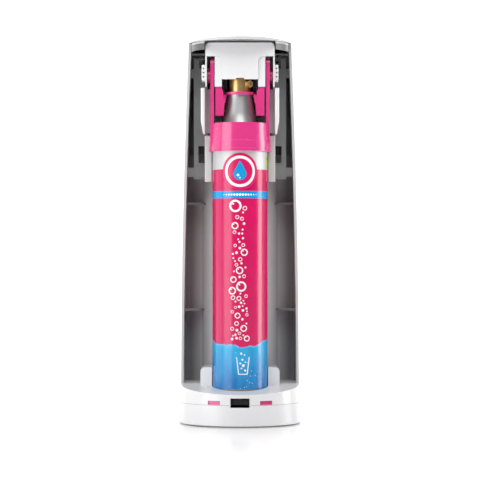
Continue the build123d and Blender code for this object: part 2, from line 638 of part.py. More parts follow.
with BuildPart() as valve_gasket:
    add(disc(0, CYL_Y, *GASKET_Z, GASKET_R[1]))
    add(disc(0, CYL_Y, *GASKET_Z, GASKET_R[0]), mode=Mode.SUBTRACT)
save(valve_gasket.part, "valve_gasket")

with BuildPart() as relief_valve:
    with BuildSketch(Plane.XY.offset(BLOCK_Z[1])):
        with Locations(RELIEF_SPOT):
            RegularPolygon(4.2, 6)
    extrude(amount=3.5)
    add(disc(*RELIEF_SPOT, BLOCK_Z[1] + 3.5, BLOCK_Z[1] + 10, 3.2))
    add(disc(*RELIEF_SPOT, BLOCK_Z[1] + 7, BLOCK_Z[1] + 10, 0.8), mode=Mode.SUBTRACT)
save(relief_valve.part, "relief_valve")

HOSE_ROUTE = [(0, CYL_Y - BLOCK_R - 0.05, 388), (0, 14, 388), (12, 2, 387), (28, -9, 381.5), (40, -22, 373),
              (42, -36, 362), (42, -42, 347)]


def route_radii(route, share=0.45):
    """Largest arc at each corner of a route that its two runs have room for."""
    points = [Vector(*point) for point in route]
    radii = []
    for before, corner, after in zip(points, points[1:], points[2:]):
        turn = (corner - before).get_angle(after - corner)
        shorter = min((corner - before).length, (after - corner).length)
        radii.append(share * shorter / tan(radians(turn) / 2))
    return radii


hose_radii = route_radii(HOSE_ROUTE)
with BuildPart() as gas_hose:
    with BuildLine() as hose_line:
        FilletPolyline(*HOSE_ROUTE, radius=hose_radii)
    with BuildSketch(Plane(HOSE_ROUTE[0], z_dir=Vector(*HOSE_ROUTE[1]) - Vector(*HOSE_ROUTE[0]))):
        Circle(HOSE_R)
    sweep()
print("hose radii", [round(radius, 1) for radius in hose_radii], "volume", round(gas_hose.part.volume),
      "expected", round(sum(edge.length for edge in hose_line.edges()) * pi * HOSE_R**2))
save(gas_hose.part, "gas_hose")

ELBOW_R = 5.0
HOSE_BARB_R = 3.6

with BuildPart() as swivel_elbow:
    add(cross_rod(HANGER_X[1], ELBOW_X + ELBOW_R, BOTTLE_Y, TILT_Z, ELBOW_R))
    add(disc(ELBOW_X, BOTTLE_Y, TILT_Z, HOSE_ROUTE[-1][2] - 1.8, HOSE_BARB_R))
    chamfer(swivel_elbow.faces().sort_by(Axis.X)[-1].edges(), 1.0)
save(swivel_elbow.part, "swivel_elbow")

with BuildPart() as valve_deck:
    with BuildSketch(Plane.XY.offset(VALVE_DECK_Z[0])):
        add(plan_face(body_half(VALVE_DECK_Z[0]) - WALL - 0.4))
    extrude(amount=VALVE_DECK_Z[1] - VALVE_DECK_Z[0])
    add(block((-BEYOND, DECK_Y[0], 0), (BEYOND, DECK_Y[1], ABOVE)), mode=Mode.INTERSECT)
    add(twin_blocks((HANGER_X[0], HANGER_Y[0], HANGER_LOW_Z), (HANGER_X[1], HANGER_Y[1], VALVE_DECK_Z[0])))
    add(cross_rod(-HANGER_X[1], HANGER_X[1], BOTTLE_Y, TILT_Z, TRUNNION_R + RUN), mode=Mode.SUBTRACT)
    add(disc(0, BUTTON_Y, VALVE_DECK_Z[1], STEM_GUIDE_Z, STEM_R + 2))
    add(disc(0, BUTTON_Y, VALVE_DECK_Z[0], STEM_GUIDE_Z, STEM_R + RUN), mode=Mode.SUBTRACT)
    for x, y in DECK_SCREWS:
        add(disc(x, y, *VALVE_DECK_Z, DECK_SCREW_R), mode=Mode.SUBTRACT)
save(valve_deck.part, "valve_deck")

DECK_SCREW_HEAD_R = 3.2

with BuildPart() as deck_screws:
    for x, y in DECK_SCREWS:
        add(cross_head_screw(x, y, (VALVE_DECK_Z[1], VALVE_DECK_Z[1] + 2), DECK_BOSS_Z + 3,
                             DECK_SCREW_HEAD_R, DECK_SCREW_R,
                             up=True))
save(deck_screws.part, "deck_screws")

# ------------------------------------------------------------------ locking lever
ARM_TOP_Y = (33.0, 60.0)
ARM_LOW_Y = 45.0
BOSS_R = 7.2

with BuildPart() as lever:
    with BuildSketch(Plane.YZ.offset(ARM_IN)):
        with BuildLine():
            Polyline((ARM_LOW_Y, BAND_Z[0] + 4), (ARM_LOW_Y, PIVOT_Z - 22), (ARM_TOP_Y[0], PIVOT_Z - 8),
                     (ARM_TOP_Y[0], ARM_TOP_Z), (ARM_TOP_Y[1], ARM_TOP_Z), (ARM_TOP_Y[1], BAND_Z[0] + 4),
                     close=True)
        make_face()
        fillet(vertices().group_by(Axis.Z)[-1], 6.0)
    extrude(amount=ARM_OUT - ARM_IN)
    add(cross_rod(ARM_OUT, BOSS_OUT, CYL_Y, PIVOT_Z, BOSS_R))
    mirror(about=Plane.YZ)
    with BuildSketch(Plane.XZ.offset(-CYL_Y)):
        with BuildLine():
            Polyline((BAND_IN_R, BAND_Z[0]), (BAND_OUT_R[0], BAND_Z[0]), (BAND_OUT_R[1], BAND_Z[1]),
                     (BAND_IN_R, BAND_Z[1]), close=True)
        make_face()
    revolve(axis=Axis((0, CYL_Y, 0), (0, 0, 1)), revolution_arc=180)
    add(disc(0, CYL_Y, 0, BAND_Z[1], BAND_IN_R), mode=Mode.SUBTRACT)
    add(cross_rod(-BOSS_OUT, BOSS_OUT, CYL_Y, PIVOT_Z, PIN_R), mode=Mode.SUBTRACT)
save(lever.part, "lever")

with BuildPart() as lever_pins:
    add(cross_rod(ARM_IN, PIN_OUT, CYL_Y, PIVOT_Z, PIN_R))
    mirror(about=Plane.YZ)
save(lever_pins.part, "lever_pins")

# ------------------------------------------------------------------ gas cylinder and the holder that lifts it
HOLDER_TOP_Z = 368.7
HOLDER_LOW_Z = 337.5
HOLDER_OUT = 26.7
HOLDER_Y = (30.0, 60.0)
BRIDGE_Y = (24.0, 28.5)
BRIDGE_Z = (347.0, 364.4)
LEDGE_REAR_Y = 56.0
COLLAR_R = 16.5
COLLAR_Z = (360.8, NECK_TOP_Z)
SHANK_R = 8.0
SHANK_LOW_Z = 348.0
VALVE_BORE_R = 3.2
VALVE_PIN_R = 1.4
PLUG_R = 4.5
PLUG_REACH = 16.0
PLUG_ROOT = 6.0
PLUG_SHANK_R = 3.0

with BuildPart() as cylinder_holder:
    with BuildSketch(Plane.XZ.offset(-HOLDER_Y[0])):
        with BuildLine():
            Polyline((HOLDER_OUT, HOLDER_LOW_Z), (HOLDER_OUT, HOLDER_TOP_Z), (20.2, HOLDER_TOP_Z),
                     (18.3, 363.5),
                     (18.3, 357.0), (15.8, 357.0), (15.8, 352.5), (16.8, 351.0), (18.0, HOLDER_LOW_Z),
                     close=True)
        make_face()
    extrude(amount=-(HOLDER_Y[1] - HOLDER_Y[0]))
    add(block((14.9, 34.0, 357.0), (18.5, LEDGE_REAR_Y, COLLAR_Z[0])))
    mirror(about=Plane.YZ)
    add(block((-HOLDER_OUT, BRIDGE_Y[0], BRIDGE_Z[0]), (HOLDER_OUT, BRIDGE_Y[1], BRIDGE_Z[1])))
    add(twin_blocks((20.2, BRIDGE_Y[1], BRIDGE_Z[0]), (HOLDER_OUT, HOLDER_Y[0], BRIDGE_Z[1])))
    with BuildSketch(Plane.XY.offset(HOLDER_LOW_Z)):
        with Locations((0, CYL_Y)):
            Circle(18.0)
    extrude(amount=16, taper=8, mode=Mode.SUBTRACT)
save(cylinder_holder.part, "cylinder_holder")

with BuildPart() as cylinder_body:
    with BuildSketch(Plane.XZ):
        with BuildLine():
            Line((0, CYL_FOOT_Z + 3), (14, CYL_FOOT_Z + 2))
            ThreePointArc((14, CYL_FOOT_Z + 2), (18, CYL_FOOT_Z + 0.6), (22, CYL_FOOT_Z))
            RadiusArc((22, CYL_FOOT_Z), (CYL_R, CYL_FOOT_Z + 8), -8)
            Line((CYL_R, CYL_FOOT_Z + 8), (CYL_R, CYL_SHOULDER_Z))
            Spline((CYL_R, CYL_SHOULDER_Z), (27.5, 314), (19.2, 330.5), (15.3, 347), (NECK_R, COLLAR_Z[0]),
                   tangents=[(0, 1), (0, 1)])
            Polyline((NECK_R, COLLAR_Z[0]), (NECK_R, NECK_TOP_Z), (0, NECK_TOP_Z), (0, CYL_FOOT_Z + 3))
        make_face()
    revolve(axis=Axis.Z)
    with BuildSketch(Plane.XZ):
        with BuildLine():
            inner = CYL_R - CYL_WALL
            Line((0, CYL_FOOT_Z + 8), (20, CYL_FOOT_Z + 8))
            RadiusArc((20, CYL_FOOT_Z + 8), (inner, CYL_FOOT_Z + 14), -6.5)
            Line((inner, CYL_FOOT_Z + 14), (inner, CYL_SHOULDER_Z - 1))
            Spline((inner, CYL_SHOULDER_Z - 1), (24, 311.5), (15.6, 328), (11.5, 345), (9.9, 350),
                   tangents=[(0, 1), (-1, 3)])
            Polyline((9.9, 350), (SHANK_R, 350), (SHANK_R, NECK_TOP_Z), (0, NECK_TOP_Z), (0, CYL_FOOT_Z + 8))
        make_face()
    revolve(axis=Axis.Z, mode=Mode.SUBTRACT)
    locate = Location((0, CYL_Y, 0))
save(cylinder_body.part.moved(locate), "cylinder_body")

with BuildPart() as cylinder_label:
    add(disc(0, CYL_Y, *LABEL_Z, CYL_R + LABEL_T))
    add(disc(0, CYL_Y, *LABEL_Z, CYL_R), mode=Mode.SUBTRACT)
save(cylinder_label.part, "cylinder_label")

with BuildPart() as cylinder_collar:
    add(disc(0, CYL_Y, *COLLAR_Z, COLLAR_R))
    fillet(cylinder_collar.edges().filter_by(GeomType.CIRCLE), 0.8)
    add(disc(0, CYL_Y, *COLLAR_Z, NECK_R), mode=Mode.SUBTRACT)
save(cylinder_collar.part, "cylinder_collar")

PLUG_PLANE = Plane((0, CYL_Y, PLUG_Z), x_dir=(0, 0, 1), z_dir=(-1, 1, 0))
with BuildPart() as cylinder_valve:
    add(disc(0, CYL_Y, NECK_TOP_Z, VALVE_TOP_Z, VALVE_R))
    chamfer(cylinder_valve.edges().filter_by(GeomType.CIRCLE).group_by(Axis.Z)[-1], 0.8)
    add(disc(0, CYL_Y, SHANK_LOW_Z, NECK_TOP_Z, SHANK_R))
    add(disc(0, CYL_Y, VALVE_TOP_Z - 2.5, VALVE_TOP_Z, VALVE_BORE_R), mode=Mode.SUBTRACT)
    add(disc(0, CYL_Y, PLUG_Z - 6, VALVE_TOP_Z, VALVE_PIN_R + RUN), mode=Mode.SUBTRACT)
    with BuildSketch(PLUG_PLANE.offset(PLUG_ROOT)):
        Circle(PLUG_SHANK_R)
    extrude(amount=20, mode=Mode.SUBTRACT)
save(cylinder_valve.part, "cylinder_valve")

with BuildPart() as burst_plug:
    with BuildSketch(PLUG_PLANE.offset(PLUG_ROOT)):
        Circle(PLUG_SHANK_R)
    extrude(amount=VALVE_R - PLUG_ROOT)
    with BuildSketch(PLUG_PLANE.offset(VALVE_R)):
        RegularPolygon(PLUG_R, 6)
    extrude(amount=PLUG_REACH - VALVE_R)
    with BuildSketch(PLUG_PLANE.offset(PLUG_REACH - 2.5)):
        Circle(1.0)
    extrude(amount=2.5, mode=Mode.SUBTRACT)
save(burst_plug.part, "burst_plug")

with BuildPart() as valve_pin:
    add(disc(0, CYL_Y, PLUG_Z - 4, VALVE_TOP_Z + 0.2, VALVE_PIN_R))
save(valve_pin.part, "valve_pin")

# ------------------------------------------------------------ carbonating button, its spring, rocker and pin
BUTTON_LOW_Z = 418.6
BUTTON_WALL = 2.5
SPRING_R = 9.0
SPRING_WIRE_R = 0.6
SPRING_TURNS = 3.5
PIN_Z = (380.2, 399.65)
ROCKER_FRONT_Y = -38.0
ROCKER_WALL = 2.0

with BuildPart() as carbonating_button:
    add(disc(0, BUTTON_Y, BUTTON_LOW_Z, BUTTON_TOP_Z, BUTTON_R))
    fillet(carbonating_button.edges().filter_by(GeomType.CIRCLE).group_by(Axis.Z)[-1], 2.0)
    add(disc(0, BUTTON_Y, BUTTON_LOW_Z, BUTTON_TOP_Z - BUTTON_WALL, BUTTON_R - BUTTON_WALL),
        mode=Mode.SUBTRACT)
    add(disc(0, BUTTON_Y, STEM_LOW_Z, BUTTON_TOP_Z - BUTTON_WALL, STEM_R))
save(carbonating_button.part, "carbonating_button")

spring_low = VALVE_DECK_Z[1] + SPRING_WIRE_R
spring_high = BUTTON_TOP_Z - BUTTON_WALL - SPRING_WIRE_R
with BuildPart() as button_spring:
    with BuildLine():
        Helix((spring_high - spring_low) / SPRING_TURNS, spring_high - spring_low, SPRING_R,
              center=(0, BUTTON_Y, spring_low))
    with BuildSketch(Plane((SPRING_R, BUTTON_Y, spring_low), x_dir=(1, 0, 0), z_dir=(0, 1, 0))):
        Circle(SPRING_WIRE_R)
    sweep()
save(button_spring.part, "button_spring")

with BuildPart() as press_rocker:
    with BuildSketch(Plane.YZ.offset(-ROCKER_HALF)):
        with BuildLine():
            Polyline((ROCKER_PIVOT[0], ROCKER_Z[0]), (ROCKER_FRONT_Y, ROCKER_Z[0] + 2),
                     (ROCKER_FRONT_Y, ROCKER_Z[1]),
                     (ROCKER_PIVOT[0], ROCKER_Z[1]))
            ThreePointArc((ROCKER_PIVOT[0], ROCKER_Z[1]), (ROCKER_PIVOT[0] + 4, ROCKER_PIVOT[1]),
                          (ROCKER_PIVOT[0], ROCKER_Z[0]))
        make_face()
    extrude(amount=2 * ROCKER_HALF)
    add(block((ROCKER_WALL - ROCKER_HALF, ROCKER_FRONT_Y + ROCKER_WALL, 0),
              (ROCKER_HALF - ROCKER_WALL, CYL_Y - 6, ROCKER_Z[1] - ROCKER_WALL)), mode=Mode.SUBTRACT)
    add(cross_rod(-ROCKER_HALF, ROCKER_HALF, *ROCKER_PIVOT, ROCKER_PIN_R + RUN), mode=Mode.SUBTRACT)
save(press_rocker.part, "press_rocker")

with BuildPart() as push_pin:
    add(disc(0, CYL_Y, *PIN_Z, PUSH_PIN_R))
    fillet(push_pin.edges().filter_by(GeomType.CIRCLE), 0.3)
save(push_pin.part, "push_pin")

# ---------------------------------------------------------------- tilting nozzle head with its bottle socket
BLOCK_HALF_R = 20.8
CLAW_HALF_Y = 7.0
CLAW_Z = (292.0, 311.5)
CLAW_X = (21.6, 24.2)
CLAW_LIP_X = 19.6
CLAW_PIVOT = (22.9, 309.5)      # its X and Z
CLAW_PIN_R = 0.8
GASKET_Z = (NOZZLE_BLOCK_Z[0] - 3, NOZZLE_BLOCK_Z[0])
GASKET_R = (5.0, 19.0)          # bore and outside

with BuildPart() as nozzle_block:
    add(disc(0, BOTTLE_Y, *NOZZLE_BLOCK_Z, BLOCK_HALF_R))
    fillet(nozzle_block.edges().filter_by(GeomType.CIRCLE).group_by(Axis.Z)[-1], 1.5)
    add(disc(0, BOTTLE_Y, NOZZLE_BLOCK_Z[0] + 6, NOZZLE_BLOCK_Z[1], BLOCK_HALF_R - 6), mode=Mode.SUBTRACT)
    add(cross_rod(BLOCK_HALF_R - 4, HANGER_X[1] - 0.2, BOTTLE_Y, TILT_Z, TRUNNION_R))
    add(cross_rod(0.2 - HANGER_X[1], 4 - BLOCK_HALF_R, BOTTLE_Y, TILT_Z, TRUNNION_R))
    add(twin_blocks((BLOCK_HALF_R - 4, BOTTLE_Y - 6, TILT_Z - 6),
                    (HANGER_X[0] - 2, BOTTLE_Y + 6, TILT_Z + 6)))
save(nozzle_block.part, "nozzle_block")

with BuildPart() as bottle_gasket:
    add(disc(0, BOTTLE_Y, *GASKET_Z, GASKET_R[1]))
    add(disc(0, BOTTLE_Y, *GASKET_Z, GASKET_R[0]), mode=Mode.SUBTRACT)
save(bottle_gasket.part, "bottle_gasket")

with BuildPart() as nozzle_tube:
    add(disc(0, BOTTLE_Y, NOZZLE_STEP_Z, NOZZLE_BLOCK_Z[0], NOZZLE_R[0]))
    add(disc(0, BOTTLE_Y, NOZZLE_TIP_Z, NOZZLE_STEP_Z, NOZZLE_R[1]))
    chamfer(nozzle_tube.edges().filter_by(GeomType.CIRCLE).group_by(Axis.Z)[0], 1.0)
    add(disc(0, BOTTLE_Y, NOZZLE_TIP_Z, NOZZLE_TIP_Z + 12, 0.8), mode=Mode.SUBTRACT)
save(nozzle_tube.part, "nozzle_tube")

with BuildPart() as bottle_socket:
    add(disc(0, BOTTLE_Y, *SOCKET_Z, SOCKET_R))
    fillet(bottle_socket.edges().filter_by(GeomType.CIRCLE).group_by(Axis.Z)[0], 1.2)
    add(disc(0, BOTTLE_Y, SOCKET_Z[0], SOCKET_Z[1], SOCKET_BORE), mode=Mode.SUBTRACT)
    add(twin_blocks((15, BOTTLE_Y - CLAW_HALF_Y - 0.4, CLAW_Z[0] - 0.8),
                    (30, BOTTLE_Y + CLAW_HALF_Y + 0.4, CLAW_Z[1] + 0.8)), mode=Mode.SUBTRACT)
    with BuildSketch(Plane.XZ.offset(-BOTTLE_Y)):
        with Locations((CLAW_PIVOT[0], CLAW_PIVOT[1]), (-CLAW_PIVOT[0], CLAW_PIVOT[1])):
            Circle(CLAW_PIN_R)
    extrude(amount=CLAW_HALF_Y + 2, both=True)
save(bottle_socket.part, "bottle_socket")

with BuildPart() as bottle_claw_right:
    with BuildSketch(Plane.XZ.offset(-BOTTLE_Y)):
        with BuildLine():
            Polyline((CLAW_X[0], CLAW_Z[1]), (CLAW_X[0], CLAW_Z[0] + 3.5), (CLAW_LIP_X, CLAW_Z[0] + 1.5),
                     (CLAW_LIP_X, CLAW_Z[0]), (CLAW_X[1], CLAW_Z[0]), (CLAW_X[1], CLAW_Z[1]), close=True)
        make_face()
        with Locations(CLAW_PIVOT):
            Circle(CLAW_PIN_R + RUN, mode=Mode.SUBTRACT)
    extrude(amount=CLAW_HALF_Y, both=True)
save(bottle_claw_right.part, "bottle_claw_right")
save(mirrored(bottle_claw_right.part), "bottle_claw_left")

# ------------------------------------------------------------------ drip tray with its grille
TRAY_Z = (TRAY_LOW_Z + 0.1, 33.0)
TRAY_WALL = 1.5
GRILLE_Z = (31.0, 32.6)
GRILLE_R = 35.8
GRILLE_SLOTS = 11
GRILLE_PITCH = 6.0

with BuildPart() as drip_tray:
    add(disc(0, TRAY_Y, *TRAY_Z, TRAY_R))
    fillet(drip_tray.edges().filter_by(GeomType.CIRCLE).group_by(Axis.Z)[-1], 0.7)
    add(disc(0, TRAY_Y, TRAY_Z[0] + TRAY_WALL, TRAY_Z[1], TRAY_R - TRAY_WALL), mode=Mode.SUBTRACT)
    with BuildSketch(Plane.XY.offset(TRAY_Z[0] + TRAY_WALL)):
        with Locations((0, TRAY_Y)):
            Circle(TRAY_R - TRAY_WALL)
            Circle(TRAY_R - TRAY_WALL - 2, mode=Mode.SUBTRACT)
    extrude(amount=GRILLE_Z[0] - TRAY_Z[0] - TRAY_WALL)
save(drip_tray.part, "drip_tray")

with BuildPart() as drip_grille:
    add(disc(0, TRAY_Y, *GRILLE_Z, GRILLE_R))
    with BuildSketch(Plane.XY.offset(GRILLE_Z[0])):
        for index in range(GRILLE_SLOTS):
            away = (index - (GRILLE_SLOTS - 1) / 2) * GRILLE_PITCH
            with Locations((0, TRAY_Y + away)):
                SlotOverall(2 * sqrt((GRILLE_R - 3) ** 2 - away**2), 2.6)
    extrude(amount=GRILLE_Z[1] - GRILLE_Z[0], mode=Mode.SUBTRACT)
save(drip_grille.part, "drip_grille")
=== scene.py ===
"""Looks for a countertop soda carbonator, seen from behind with its gas cylinder bay open."""

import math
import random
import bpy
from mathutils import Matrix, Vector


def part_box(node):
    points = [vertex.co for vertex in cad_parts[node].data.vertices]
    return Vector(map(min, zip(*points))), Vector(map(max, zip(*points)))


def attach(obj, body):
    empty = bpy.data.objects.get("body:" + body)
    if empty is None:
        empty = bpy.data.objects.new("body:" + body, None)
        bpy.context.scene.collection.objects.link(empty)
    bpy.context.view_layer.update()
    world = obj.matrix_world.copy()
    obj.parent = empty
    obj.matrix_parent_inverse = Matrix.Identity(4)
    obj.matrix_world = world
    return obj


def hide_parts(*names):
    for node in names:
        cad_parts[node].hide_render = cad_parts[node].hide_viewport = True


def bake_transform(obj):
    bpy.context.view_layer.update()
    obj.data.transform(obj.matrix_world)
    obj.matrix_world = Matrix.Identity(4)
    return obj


bl_info = {
    "name": "Soda Carbonator",
    "version": (1, 0, 0),
    "blender": (4, 5, 0),
    "location": "View3D > Sidebar > Carbonator",
    "description": "Finishes, printed label, trim and studio for a soda carbonator seen from behind",
    "category": "Object",
}

import bmesh
import bpy
from mathutils import Matrix, Vector
from mathutils.geometry import interpolate_bezier

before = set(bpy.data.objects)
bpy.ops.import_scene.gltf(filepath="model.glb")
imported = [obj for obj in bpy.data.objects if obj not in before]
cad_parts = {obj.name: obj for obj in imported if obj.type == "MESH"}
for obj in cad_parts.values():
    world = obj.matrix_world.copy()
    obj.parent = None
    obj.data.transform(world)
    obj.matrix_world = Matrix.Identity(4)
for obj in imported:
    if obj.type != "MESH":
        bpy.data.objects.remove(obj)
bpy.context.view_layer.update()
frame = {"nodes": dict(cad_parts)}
NODES = frame["nodes"]
MM = 0.001

# Places read from the frame
CYLINDER_LOW, CYLINDER_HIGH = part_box("cylinder_body")
LABEL_LOW, LABEL_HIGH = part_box("cylinder_label")
BAND_LOW, BAND_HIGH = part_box("lever")
BUTTON_LOW, BUTTON_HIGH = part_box("carbonating_button")
SEAM_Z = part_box("base_pan")[1].z
COVER_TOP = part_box("top_cover")[1].z
CYLINDER_AXIS = (CYLINDER_LOW + CYLINDER_HIGH) / 2
CYLINDER_R = (CYLINDER_HIGH.x - CYLINDER_LOW.x) / 2
LABEL_R = (LABEL_HIGH.x - LABEL_LOW.x) / 2
BAND_SKIRT_R = BAND_HIGH.y - CYLINDER_AXIS.y

EDGE_R = 0.5 * MM       # how round the edges of moulded plastic look
INK_T = 0.05 * MM       # how far the print stands proud
WELD = 0.001 * MM       # points closer than this are one
SENSOR_WIDTH = 36.0     # in millimetres, as the lens is


# ------------------------------------------------------------------ sizes and colours a user would change
def colour_property(name, description, default):
    """A linear colour with its name and description."""
    return bpy.props.FloatVectorProperty(name=name, description=description, default=(*default, 1),
                                         subtype="COLOR", size=4, min=0, max=1)


def length_property(name, description, default):
    """A length in metres with its name and description."""
    return bpy.props.FloatProperty(name=name, description=description, default=default,
                                   subtype="DISTANCE", unit="LENGTH")


class CarbonatorColours(bpy.types.PropertyGroup):
    """Colours of the moulded, printed and metal parts."""

    base: colour_property("Base", "White plastic of the base", (0.77, 0.77, 0.78))
    frame: colour_property("Frame", "White plastic of the rear frame and brackets", (0.74, 0.74, 0.75))
    shell: colour_property("Shell", "Grey plastic of walls and head", (0.52, 0.52, 0.525))
    liner: colour_property("Liner", "Dark grey plates in the bay", (0.33, 0.33, 0.332))
    crown: colour_property("Top cover", "Light grey top cover", (0.60, 0.60, 0.61))
    dark: colour_property("Black parts", "Plastic of valve block, rocker and latch", (0.012, 0.012, 0.013))
    pink: colour_property("Pink parts", "Plastic of the lever and the cylinder holder", (0.68, 0.040, 0.215))
    label: colour_property("Label", "Main colour of the printed label", (0.62, 0.004, 0.105))
    print_blue: colour_property("Label blue", "Blue of the label's stripe and drop", (0.0, 0.30, 0.66))
    print_white: colour_property("Label white", "White ink of the label", (0.86, 0.86, 0.86))
    aluminium: colour_property("Aluminium", "Bare metal of the cylinder", (0.60, 0.60, 0.61))
    brass: colour_property("Brass", "Valve, burst plug and fittings", (0.72, 0.48, 0.20))


class CarbonatorLabel(bpy.types.PropertyGroup):
    """Sizes of the print on the gas cylinder."""

    badge_radius: length_property("Badge radius", "Radius of the round badge", 20 * MM)
    badge_drop: length_property("Badge drop", "Badge's middle below the top of the label", 2.4 * MM)
    stripe_drop: length_property("Stripe drop", "Top of the blue stripe below the label's top", 23.6 * MM)
    stripe_height: length_property("Stripe height", "Height of the blue stripe", 7.9 * MM)
    water_height: length_property("Water height", "Height of the blue foot of the label", 55 * MM)
    bubbles: bpy.props.IntProperty(name="Bubbles", description="Bubbles in the rising trail",
                                   default=64, min=0, max=90)


class CarbonatorStage(bpy.types.PropertyGroup):
    """Studio around the machine."""

    camera_distance: length_property("Camera distance", "From camera to cylinder axis", 2.0)
    eye_height: length_property("Eye height", "Height of the camera", 0.191)
    middle_height: length_property("Middle height", "Height in the middle of the view", 0.202)
    lens: bpy.props.FloatProperty(name="Lens", description="Focal length in millimetres", default=136.5)
    key_power: bpy.props.FloatProperty(name="Key power", description="Power of the tall light on the left",
                                       default=13.0, unit="POWER")


def colours():
    return bpy.context.scene.carbonator_colours


def label_sizes():
    return bpy.context.scene.carbonator_label


# ------------------------------------------------------------------ material helpers
def shade(colour, factor):
    """A colour made brighter or darker."""
    return [min(channel * factor, 1.0) for channel in colour[:3]] + [1]


class Recipe:
    """A new material with a principled shader, and short ways to add nodes to it."""

    def __init__(self, name, colour, roughness, metallic=0.0):
        self.material = bpy.data.materials.new(name)
        self.material.use_nodes = True
        self.tree = self.material.node_tree
        self.shader = self.tree.nodes["Principled BSDF"]
        self.shader.inputs["Base Color"].default_value = tuple(colour)
        self.shader.inputs["Roughness"].default_value = roughness
        self.shader.inputs["Metallic"].default_value = metallic
        self.material.diffuse_color = tuple(colour)

    def node(self, kind, **settings):
        """A node of that kind. Settings whose name is an input's set that input; the others set the node."""
        made = self.tree.nodes.new(kind)
        for key, value in settings.items():
            if key in made.inputs:
                made.inputs[key].default_value = value
            else:
                setattr(made, key, value)
        return made

    def link(self, source, target):
        self.tree.links.new(source, target)

    def coordinates(self, location=(0, 0, 0), scale=(1, 1, 1)):
        """Object coordinates, moved and scaled."""
        where = self.node("ShaderNodeTexCoord")
        mapping = self.node("ShaderNodeMapping")
        mapping.inputs["Location"].default_value = location
        mapping.inputs["Scale"].default_value = scale
        self.link(where.outputs["Object"], mapping.inputs["Vector"])
        return mapping.outputs["Vector"]

    def noise(self, vector, scale, detail=2.0):
        made = self.node("ShaderNodeTexNoise", Scale=scale, Detail=detail)
        self.link(vector, made.inputs["Vector"])
        return made.outputs["Fac"]

    def math(self, operation, first, second=None):
        """A Math node fed by sockets or numbers."""
        made = self.node("ShaderNodeMath", operation=operation)
        for index, value in enumerate((first, second)):
            if value is None:
                continue
            if isinstance(value, (int, float)):
                made.inputs[index].default_value = value
            else:
                self.link(value, made.inputs[index])
        return made.outputs["Value"]

    def spread(self, value, low, high, from_low=0.0, from_high=1.0):
        """Value moved from one range to another."""
        made = self.node("ShaderNodeMapRange")
        made.inputs["From Min"].default_value = from_low
        made.inputs["From Max"].default_value = from_high
        made.inputs["To Min"].default_value = low
        made.inputs["To Max"].default_value = high
        self.link(value, made.inputs["Value"])
        return made.outputs["Result"]

    def mix(self, factor, first, second):
        """Mix of two colours, each a socket or a colour."""
        made = self.node("ShaderNodeMix", data_type="RGBA")
        self.link(factor, made.inputs["Factor"])
        for socket, value in ((made.inputs[6], first), (made.inputs[7], second)):
            if hasattr(value, "links"):
                self.link(value, socket)
            else:
                socket.default_value = tuple(value)
        return made.outputs[2]

    def split(self, vector):
        """The X, Y and Z of a vector."""
        made = self.node("ShaderNodeSeparateXYZ")
        self.link(vector, made.inputs["Vector"])
        return [made.outputs[axis] for axis in "XYZ"]

    def facing(self):
        """Which way the surface faces, along the object's own axes."""
        return self.split(self.node("ShaderNodeTexCoord").outputs["Normal"])

    def paint(self, colour):
        self.link(colour, self.shader.inputs["Base Color"])

    def vary_roughness(self, factor, low, high, from_low=0.3, from_high=0.7):
        """Gloss that drifts between two roughnesses."""
        self.link(self.spread(factor, low, high, from_low, from_high), self.shader.inputs["Roughness"])

    def bump(self, height, distance, strength, rounding=0.0):
        """Fine relief. With a rounding radius, sharp edges catch the light as if they were rounded."""
        made = self.node("ShaderNodeBump", Strength=strength, Distance=distance)
        if rounding:
            soft = self.node("ShaderNodeBevel", samples=4, Radius=rounding)
            self.link(soft.outputs["Normal"], made.inputs["Normal"])
        self.link(height, made.inputs["Height"])
        self.link(made.outputs["Normal"], self.shader.inputs["Normal"])

    def vary_colour(self, factor, colour, darker):
        """Base colour that drifts between colour and a darker one."""
        self.paint(self.mix(factor, shade(colour, darker), colour))


def moulded_plastic(name, colour, roughness, grain=1400.0, depth=0.00003, darker=0.94, coat=0.0):
    """Injection-moulded plastic: fine spark-eroded grain, faint flow marks and slightly uneven gloss."""
    recipe = Recipe(name, colour, roughness)
    place = recipe.coordinates()
    flow = recipe.noise(place, 22.0, 3.0)
    recipe.vary_colour(flow, colour, darker)
    recipe.vary_roughness(recipe.noise(place, 60.0, 4.0), roughness - 0.05, roughness + 0.06)
    recipe.bump(recipe.noise(place, grain, 1.0), depth, 0.35, EDGE_R)
    if coat:
        recipe.shader.inputs["Coat Weight"].default_value = coat
        recipe.shader.inputs["Coat Roughness"].default_value = 0.12
    return recipe.material


